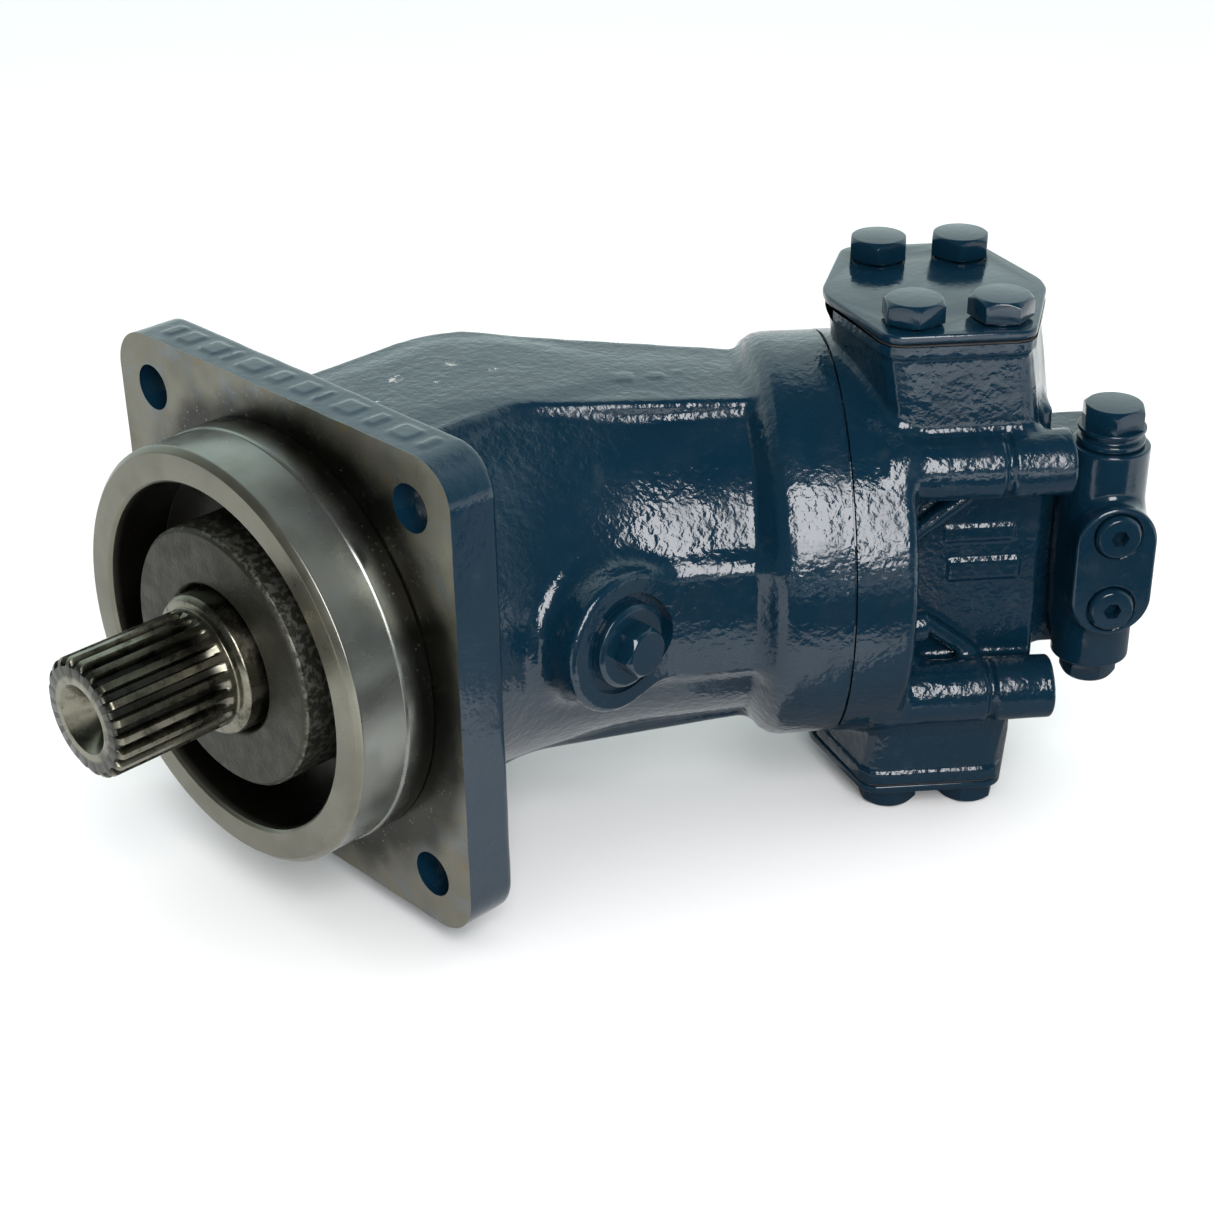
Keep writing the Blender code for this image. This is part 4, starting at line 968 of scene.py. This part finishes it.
def make_port_plate(cell):
    """Port plate casting with flat joint and port faces."""
    low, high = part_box("port_plate")
    plate = casting("port_plate_casting", port_plate_field, low, high, cell)
    along = BARREL.to_3x3() @ Vector((0, 0, 1))
    slice_flat(plate, BARREL @ Vector((0, 0, PLATE_AT)), -along)
    slice_flat(plate, ELBOW @ Vector((0, 0, PAD_FACE)), (0, 0, 1))
    slice_flat(plate, ELBOW @ Vector((0, 0, LOWER_DROP - PAD_FACE)), (0, 0, -1))
    cutters = [turned(f"boss_bore_{i}", [(0, 0.12), (0.0066, 0.12), (0.0066, 0.1985), (0.0095, 0.1985),
                                         (0.0095, 0.24), (0, 0.24)],
                      BARREL @ Matrix.Translation((*spot, 0)), 64, 0.0)
               for i, spot in enumerate(SCREW_SPOTS)]
    combine(plate, "DIFFERENCE", cutters)
    dress(plate, CAST_PAINT)
    return finish_piece(plate, "casing", "navy_paint", "port_plate", angle=38)


# ---------------------------------------------------------------- flushing valve
def valve_field(points):
    """Upright valve body with its stadium-shaped front boss and mounting block."""
    valve = local(points, VALVE)
    elbow = local(points, ELBOW)
    front = local(points, VALVE_FRONT)
    body = rod(valve, VALVE_RADIUS, -VALVE_HALF, VALVE_HALF, 0.0009)
    flat = np.hypot(front[:, 0], np.maximum(np.abs(front[:, 1]) - 0.0116, 0)) - 0.0154
    boss = slab(flat, front[:, 2] + 0.014, 0.014, 0.0014)
    back = block(elbow, (VALVE_AT - 0.0148, VALVE_SIDE, -0.034), (VALVE_AT + 0.0148, VALVE_BACK, 0.034),
                 0.0015)
    skin = blend(blend(body, boss, 0.004), back, 0.004)
    hollow = np.minimum(rod(valve, 0.0076, -0.06, 0.06), rod(valve, 0.0102, 0.033, 0.06))
    hollow = np.minimum(hollow, rod(valve, 0.0102, -0.06, -0.033))
    for height in (VALVE_PORT_HIGH, -VALVE_PORT_HIGH):
        hollow = np.minimum(hollow, rod(front, 0.0094, -0.0022, 0.01, at=(0, height)))
        hollow = np.minimum(hollow, rod(front, 0.0061, -0.0125, 0.01, at=(0, height)))
    for height in (VALVE_SCREW_HIGH, -VALVE_SCREW_HIGH):
        hole = np.hypot(elbow[:, 0] - VALVE_AT, elbow[:, 2] - height) - 0.0034
        hollow = np.minimum(hollow, np.maximum(hole, -0.0175 - elbow[:, 1]))
    return carve(skin, hollow, 0.0004)


def make_valve_body(cell):
    """Flushing valve casting."""
    low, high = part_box("flushing_valve_body")
    body = casting("valve_body_casting", valve_field, low, high, cell)
    dress(body, SMOOTH_PAINT)
    return finish_piece(body, "casing", "navy_paint", "flushing_valve_body", angle=38)


def make_valve_plugs():
    """Hexagon end plugs, the top one on collar rings, and socket screw plugs in the front boss."""
    seat = VALVE_HALF + GAP
    stem = [(0, 0.0325), (0.0056, 0.0325), (0.0056, 0.0335), (0.0098, 0.0335), (0.0098, seat)]
    collared = stem + [
        (0.0128, seat), (0.0128, seat + 0.0024), (0.0112, seat + 0.0030), (0.0112, seat + 0.0048),
        (0.0128, seat + 0.0054), (0.0128, seat + 0.0070), (0, seat + 0.0070),
    ]
    short = stem + [(0.0106, seat), (0.0106, seat + 0.0016), (0, seat + 0.0016)]
    over = Matrix.Rotation(math.pi, 4, "X")
    for name, place, profile, flats, low, high in (
            ("top", VALVE, collared, 0.0215, 0.0060, 0.0155),
            ("bottom", VALVE @ over, short, 0.0190, 0.0008, 0.0090)):
        collar = turned(f"valve_collar_{name}", profile, place, 72, 0.0005)
        head = crowned_hexagon(f"valve_head_{name}", flats, seat + low, seat + high, place, 0.35)
        for piece in (collar, head):
            dress(piece, SMOOTH_PAINT)
        finish_piece(join(collar, [head]), "casing", "navy_paint", f"valve_plug_{name}", angle=25)
    for name, height in (("upper", VALVE_PORT_HIGH), ("lower", -VALVE_PORT_HIGH)):
        place = VALVE_FRONT @ Matrix.Translation((0, height, 0))
        plug = socket_screw(f"valve_port_screw_{name}", [
            (0, -0.0120), (0.0058, -0.0120), (0.0058, -0.0019), (0.0087, -0.0019),
            (0.0087, 0.0010), (0.0076, 0.0024), (0, 0.0024),
        ], 0.0060, 0.0048, place)
        dress(plug, SMOOTH_PAINT)
        finish_piece(plug, "casing", "navy_paint", f"valve_port_plug_{name}", angle=25)


# ---------------------------------------------------------------- bolts, screws and plugs
def crowned_hexagon(name, flats, low, high, place, turn=0.0):
    """A hexagon head with the round chamfer that turning leaves on its top corners."""
    head = hexagon(name, flats, low, high, place, turn)
    reach = flats / math.sqrt(3)
    crown = turned(name + "_crown", [
        (0, low - 0.001), (reach * 1.05, low - 0.001), (reach * 1.05, high - 0.0024),
        (flats / 2 * 0.96, high), (0, high),
    ], place, 72, 0.0)
    combine(head, "INTERSECT", [crown])
    return soften(head, 0.00035, 2)


def socket_screw(name, profile, flats, depth, place):
    """A turned screw with a hexagon socket in its top."""
    top = profile[-1][1]
    screw = turned(name, profile, place, 64, 0.0004)
    key = hexagon(name + "_key", flats, top - depth, top + 0.01, place)
    return combine(screw, "DIFFERENCE", [key])


def make_port_bolts():
    """Eight hexagon bolts, each turned to its own angle."""
    spots = [(PORT_AT + along, across) for across in (-PORT_ACROSS, PORT_ACROSS)
             for along in (-PORT_ALONG, PORT_ALONG)]
    seat = COVER_HIGH + GAP
    washer = BOLT_FLATS / 2 - 0.0006
    for sign, side in ((1, "top"), (-1, "bottom")):
        flip = Matrix.Rotation(0 if sign > 0 else math.pi, 4, "X")
        for i, ((x, y), turn) in enumerate(zip(spots, BOLT_TURNS), 1):
            place = SIDES[sign] @ Matrix.Translation((x, y, 0)) @ flip
            name = f"{side}_bolt_{i}"
            shank = turned(name, [
                (0, 0.0700), (BOLT_SHANK, 0.0700), (BOLT_SHANK, seat), (washer, seat),
                (washer, seat + 0.0012), (0, seat + 0.0012),
            ], place, 48, 0.0003)
            head = crowned_hexagon(name + "_head", BOLT_FLATS, seat + 0.0008, seat + BOLT_HEAD,
                                   place, math.radians(turn))
            dress(shank, SMOOTH_PAINT)
            dress(head, SMOOTH_PAINT)
            finish_piece(join(shank, [head]), "casing", "navy_paint", f"port_bolt_{side}_{i}",
                         angle=25)


def make_plate_screws():
    """Socket screws down in the four bosses, and the two behind the valve."""
    for i, spot in enumerate(SCREW_SPOTS, 1):
        place = BARREL @ Matrix.Translation((*spot, 0))
        screw = socket_screw(f"boss_screw_{i}", [
            (0, 0.1150), (0.0059, 0.1150), (0.0059, 0.1988), (0.0090, 0.1988), (0.0090, 0.2100),
            (0.0082, 0.2108), (0, 0.2108),
        ], 0.0100, 0.0062, place)
        dress(screw, BLACK_STEEL)
        finish_piece(screw, "casing", "screw_steel", f"port_plate_screw_{i}", angle=25)
    for i, height in enumerate((VALVE_SCREW_HIGH, -VALVE_SCREW_HIGH), 1):
        place = ELBOW @ Matrix.Translation((VALVE_AT, 0, height)) @ TOWARDS_Y.inverted()
        screw = socket_screw(f"lug_screw_{i}", [
            (0, -0.0170), (0.0030, -0.0170), (0.0030, 0.0173), (0.0062, 0.0173),
            (0.0062, 0.0233), (0, 0.0233),
        ], 0.0050, 0.0032, place)
        dress(screw, BLACK_STEEL)
        finish_piece(screw, "casing", "screw_steel", f"valve_screw_{i}", angle=25)


def make_drain_plugs():
    """Hexagon plugs with a round collar in the case drain ports."""
    for name, place, face in (("drain", DRAIN, DRAIN_FACE), ("rear_drain", REAR_DRAIN, REAR_DRAIN_FACE)):
        seat = face - SEAT_DEPTH + 0.0015 + 2 * GAP
        collar = turned(f"{name}_screw", [
            (0, face - 0.0140), (DRAIN_THREAD, face - 0.0140), (DRAIN_THREAD, seat),
            (PLUG_COLLAR, seat), (PLUG_COLLAR, seat + 0.0020), (PLUG_COLLAR - 0.0016, seat + 0.0029),
            (0, seat + 0.0029),
        ], place, 72, 0.0004)
        head = crowned_hexagon(f"{name}_head", 0.0170, seat + 0.001, seat + 0.0105, place,
                               math.radians(8))
        dress(collar, SMOOTH_PAINT)
        dress(head, SMOOTH_PAINT)
        finish_piece(join(collar, [head]), "casing", "navy_paint", f"{name}_plug", angle=25)


# ---------------------------------------------------------------- port covers
def rounded(corners, radii, count=8):
    """A convex outline with each corner rounded by an arc of its own radius."""
    outline = []
    total = len(corners)
    for i, (corner, radius) in enumerate(zip(corners, radii)):
        here = Vector(corner)
        back = (Vector(corners[i - 1]) - here).normalized()
        ahead = (Vector(corners[(i + 1) % total]) - here).normalized()
        half = back.angle(ahead) / 2
        centre = here + (back + ahead).normalized() * radius / math.sin(half)
        first = here + back * radius / math.tan(half) - centre
        last = here + ahead * radius / math.tan(half) - centre
        start = math.atan2(first.y, first.x)
        sweep = (math.atan2(last.y, last.x) - start + math.pi) % (2 * math.pi) - math.pi
        for step in range(count):
            t = start + sweep * step / (count - 1)
            outline.append((centre.x + radius * math.cos(t), centre.y + radius * math.sin(t)))
    return outline


def make_port_covers():
    """Blanking plates with eased edges over both ports."""
    for side, sign in (("top", 1), ("bottom", -1)):
        low, high = sorted((sign * COVER_LOW, sign * COVER_HIGH))
        cover = prism(f"{side}_blanking_plate", rounded(pad_outline(), PAD_RADII), low, high,
                      SIDES[sign])
        holes = []
        for i, (x, y) in enumerate([(PORT_AT + a, b) for a in (-PORT_ALONG, PORT_ALONG)
                                    for b in (-PORT_ACROSS, PORT_ACROSS)]):
            holes.append(prism(f"{side}_hole_{i}", ring_of(32, BOLT_SHANK + 0.0006), low - 0.01,
                               high + 0.01, SIDES[sign] @ Matrix.Translation((x, y, 0))))
        combine(cover, "DIFFERENCE", holes)
        soften(cover, 0.0010, 4)
        dress(cover, SMOOTH_PAINT)
        finish_piece(cover, "casing", "navy_paint", f"port_cover_{side}", angle=25)


# ---------------------------------------------------------------- shaft and its cover
def tooth_radius(turn, tip, root):
    """Radius of the splined surface: flat tips and roots joined by steep flanks."""
    share = (turn * SPLINE_TEETH / (2 * math.pi)) % 1.0
    away = abs(share - 0.5) * 2
    rise = min(max((away - 0.375) / 0.25, 0.0), 1.0)
    return tip + (root - tip) * rise


def make_drive_shaft():
    """Splined shaft with its countersunk centre hole, run-out, collar and drive flange."""
    face = BEND_X + 0.0008
    outer = eased([
        (0, -0.060), (0.0045, -0.062), (0.0045, -0.077), (0.0129, SHAFT_END), (0.0196, SHAFT_END),
    ], 0.0003, False)
    stations = [(point.x, point.x, point.y) for point in outer]
    stations += [
        (0.0204, 0.0196, SHAFT_END + 0.0003), (0.0214, 0.0199, SHAFT_END + 0.0009),
        (SPLINE_TIP - 0.0002, SPLINE_ROOT, SHAFT_END + 0.0017),
        (SPLINE_TIP, SPLINE_ROOT, SHAFT_END + 0.0024),
    ]
    for i in range(1, 12):
        stations.append((SPLINE_TIP, SPLINE_ROOT, SHAFT_END + 0.0024 + 0.0380 * i / 11))
    for i in range(1, 7):
        share = i / 6
        root = SPLINE_ROOT + (SPLINE_TIP - 0.0002 - SPLINE_ROOT) * share ** 1.6
        stations.append((SPLINE_TIP, root, SPLINE_END - 0.0060 * (1 - share)))
    after = eased([
        (SPLINE_TIP, SPLINE_END + 0.0006), (SPLINE_TIP, SPLINE_END + 0.0026),
        (0.0250, SPLINE_END + 0.0030), (0.0266, SPLINE_END + 0.0047),
        (0.0266, -0.0300), (0.0266, -0.0070), (0.0272, -0.0065), (0.0272, 0.0199), (0.0322, 0.0199),
        (0.0322, 0.0530), (0.0360, 0.0530), (0.0360, 0.0565), (0.0550, 0.0600), (0.0550, face),
        (0, face),
    ], 0.0007, False)
    stations += [(point.x, point.x, point.y) for point in after]

    steps = SPLINE_TEETH * 16
    turns = [2 * math.pi * i / steps for i in range(steps)]
    shape = bmesh.new()
    rows = []
    for tip, root, height in stations:
        radii = [tip if tip == root else tooth_radius(turn, tip, root) for turn in turns]
        rows.append(row_of(shape, radii, height))
    for lower, upper in zip(rows, rows[1:]):
        bridge(shape, lower, upper)
    shaft = from_shape("splined_shaft", shape, SHAFT)
    sockets = []
    for i in range(7):
        turn = 2 * math.pi * i / 7
        spot = MOTOR @ Matrix.Translation((BEND_X, 0.040 * math.cos(turn), 0.040 * math.sin(turn)))
        sockets.append(sphere(f"socket_{i}", 0.0115, spot))
    sockets.append(sphere("pin_socket", 0.0101, MOTOR @ Matrix.Translation((BEND_X, 0, 0))))
    combine(shaft, "DIFFERENCE", sockets)
    dress(shaft, SHAFT_STEEL)
    return finish_piece(shaft, "shaft", "polished_steel", "drive_shaft", angle=32)


def sphere(name, radius, place, segments=32, rings=16):
    """A ball at the frame's origin."""
    shape = bmesh.new()
    bmesh.ops.create_uvsphere(shape, u_segments=segments, v_segments=rings, radius=radius)
    return from_shape(name, shape, place)


def make_front_cover():
    """Disc round the shaft with a chamfered rim."""
    cover = turned("shaft_cover", [
        (0.0494, -0.0306), (0.0494, NOSE_FLOOR - GAP), (0.0452, NOSE_FLOOR - GAP), (0.0452, -0.0068),
        (0.0366, -0.0068), (0.0366, -0.0230), (0.0282, -0.0230), (0.0282, -0.0312),
        (0.0292, -0.0322), (0.0478, -0.0322),
    ], SHAFT, 192, 0.0005, ring=True)
    dress(cover, DISC_IRON)
    return finish_piece(cover, "casing", "machined_iron", "front_cover", angle=35)


# ---------------------------------------------------------------- carried-over nodes
def dress_nodes():
    """Materials for the CAD nodes that keep their own shape."""
    looks = {"seal": RUBBER, "gasket": FIBRE, "port_plate_gasket": SMOOTH_PAINT,
             "control_plate": BRONZE, "washer": SMOOTH_PAINT}
    for name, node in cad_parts.items():
        if node.hide_render:
            continue
        found = [look for word, look in looks.items() if word in name]
        dress(node, found[-1] if found else BRIGHT_STEEL)


# ---------------------------------------------------------------- stage
def make_floor():
    """A wide pale floor."""
    shape = bmesh.new()
    bmesh.ops.create_grid(shape, x_segments=1, y_segments=1, size=6.0)
    floor = from_shape("floor", shape, Matrix.Translation((0, 0, CAD_BOX[0][2] - 0.0002)))
    n = Nodes("pale_floor")
    tone = n.mix(n.noise(0.8, 3.0), (0.86, 0.87, 0.87), (0.90, 0.90, 0.90))
    dress(floor, n.finish(Base_Color=tone, Roughness=0.6, Specular_IOR_Level=0.1))


def area_light(name, way, distance, width, height, watts, colour, glossy=True):
    """A soft rectangular lamp aimed at the motor; way is (azimuth from +X, elevation) in degrees."""
    azimuth, elevation = (math.radians(angle) for angle in way)
    out = Vector((math.cos(azimuth) * math.cos(elevation), math.sin(azimuth) * math.cos(elevation),
                  math.sin(elevation)))
    data = bpy.data.lights.new(name, "AREA")
    data.shape = "RECTANGLE"
    data.size = width
    data.size_y = height
    data.energy = watts
    data.color = colour
    lamp = bpy.data.objects.new(name, data)
    bpy.context.scene.collection.objects.link(lamp)
    lamp.location = ORIGIN + Vector((0.09, -0.05, 0)) + out * distance
    lamp.rotation_euler = out.to_track_quat("Z", "Y").to_euler()
    lamp.visible_glossy = glossy


def make_card(name, place, width, height, shade_of_grey):
    """A card seen only in reflections."""
    shape = bmesh.new()
    bmesh.ops.create_grid(shape, x_segments=1, y_segments=1, size=0.5)
    card = from_shape(name, shape, place @ Matrix.Diagonal((width, height, 1, 1)))
    n = Nodes(name)
    tone = n.mix(n.noise(0.3), (shade_of_grey * 0.9,) * 3, (shade_of_grey * 1.1,) * 3)
    dress(card, n.finish(Base_Color=tone, Roughness=0.9))
    card.visible_camera = False
    card.visible_diffuse = False
    card.visible_shadow = False


def make_light():
    """Bright walls behind and to the right, a dark ceiling, and one tall soft window near the camera."""
    world = bpy.data.worlds.new("studio")
    bpy.context.scene.world = world
    world.use_nodes = True
    tree = world.node_tree
    background = tree.nodes["Background"]
    place = tree.nodes.new("ShaderNodeTexCoord")
    spread = tree.nodes.new("ShaderNodeSeparateXYZ")
    tree.links.new(place.outputs["Generated"], spread.inputs[0])

    def ramp(source, low, high, bottom, top):
        node = tree.nodes.new("ShaderNodeMapRange")
        node.interpolation_type = "SMOOTHSTEP"
        tree.links.new(source, node.inputs["Value"])
        for name, number in (("From Min", low), ("From Max", high), ("To Min", bottom),
                             ("To Max", top)):
            node.inputs[name].default_value = number
        return node.outputs[0]

    facing = tree.nodes.new("ShaderNodeVectorMath")
    facing.operation = "DOT_PRODUCT"
    tree.links.new(place.outputs["Generated"], facing.inputs[0])
    facing.inputs[1].default_value = Vector((0.80, 0.55, 0.05)).normalized()
    wall = ramp(facing.outputs["Value"], -0.20, 0.60, 0.10, 1.25)
    ceiling = ramp(spread.outputs["Z"], 0.72, 0.93, 1.0, 0.06)
    product = tree.nodes.new("ShaderNodeMath")
    product.operation = "MULTIPLY"
    tree.links.new(wall, product.inputs[0])
    tree.links.new(ceiling, product.inputs[1])
    tree.links.new(product.outputs[0], background.inputs["Strength"])
    background.inputs["Color"].default_value = (0.84, 1.0, 0.97, 1)

    stand = Matrix.Rotation(math.radians(-126), 4, "Z") @ Matrix.Rotation(math.radians(90), 4, "Y")
    beside = Matrix.Translation(ORIGIN + Vector((0.095, -0.285, -0.052)))
    make_card("black_card", beside @ stand, 0.10, 0.40, 0.025)
    below = Vector((ORIGIN.x + 0.26, ORIGIN.y - 0.28, CAD_BOX[0][2] + 0.0005))
    make_card("grey_card", Matrix.Translation(below), 0.28, 0.36, 0.22)
    area_light("window", (-122, 31), 1.3, 0.55, 0.95, 20, (1.0, 0.99, 1.0))
    area_light("overhead", (60, 86), 3.0, 6.0, 6.0, 150, (1.0, 0.97, 0.98), glossy=False)


def make_camera():
    """Camera in front, to the left and above, as a catalogue picture has it."""
    azimuth, elevation, roll = (math.radians(angle) for angle in (-44.371, 28.81, -0.839))
    back = Vector((math.sin(azimuth) * math.cos(elevation), -math.cos(azimuth) * math.cos(elevation),
                   math.sin(elevation)))
    level = Vector((math.cos(azimuth), math.sin(azimuth), 0))
    upright = level.cross(-back)
    right = level * math.cos(roll) + upright * math.sin(roll)
    up = upright * math.cos(roll) - level * math.sin(roll)
    data = bpy.data.cameras.new("camera")
    data.lens = 65.17
    data.sensor_width = 36
    data.clip_start = 0.01
    camera = bpy.data.objects.new("camera", data)
    bpy.context.scene.collection.objects.link(camera)
    turn = Matrix((right, up, back)).transposed().to_4x4()
    camera.matrix_world = Matrix.Translation(ORIGIN + Vector((-0.40657, -0.58040, 0.39107))) @ turn
    bpy.context.scene.camera = camera


# ---------------------------------------------------------------- assembly
COARSE = 1.0
make_housing(0.00125 * COARSE)
make_port_plate(0.00095 * COARSE)
make_valve_body(0.00055 * COARSE)
make_valve_plugs()
make_port_covers()
make_port_bolts()
make_plate_screws()
make_drain_plugs()
make_drive_shaft()
make_front_cover()
dress_nodes()
make_floor()
make_light()
make_camera()
bpy.context.scene.view_settings.view_transform = "Standard"
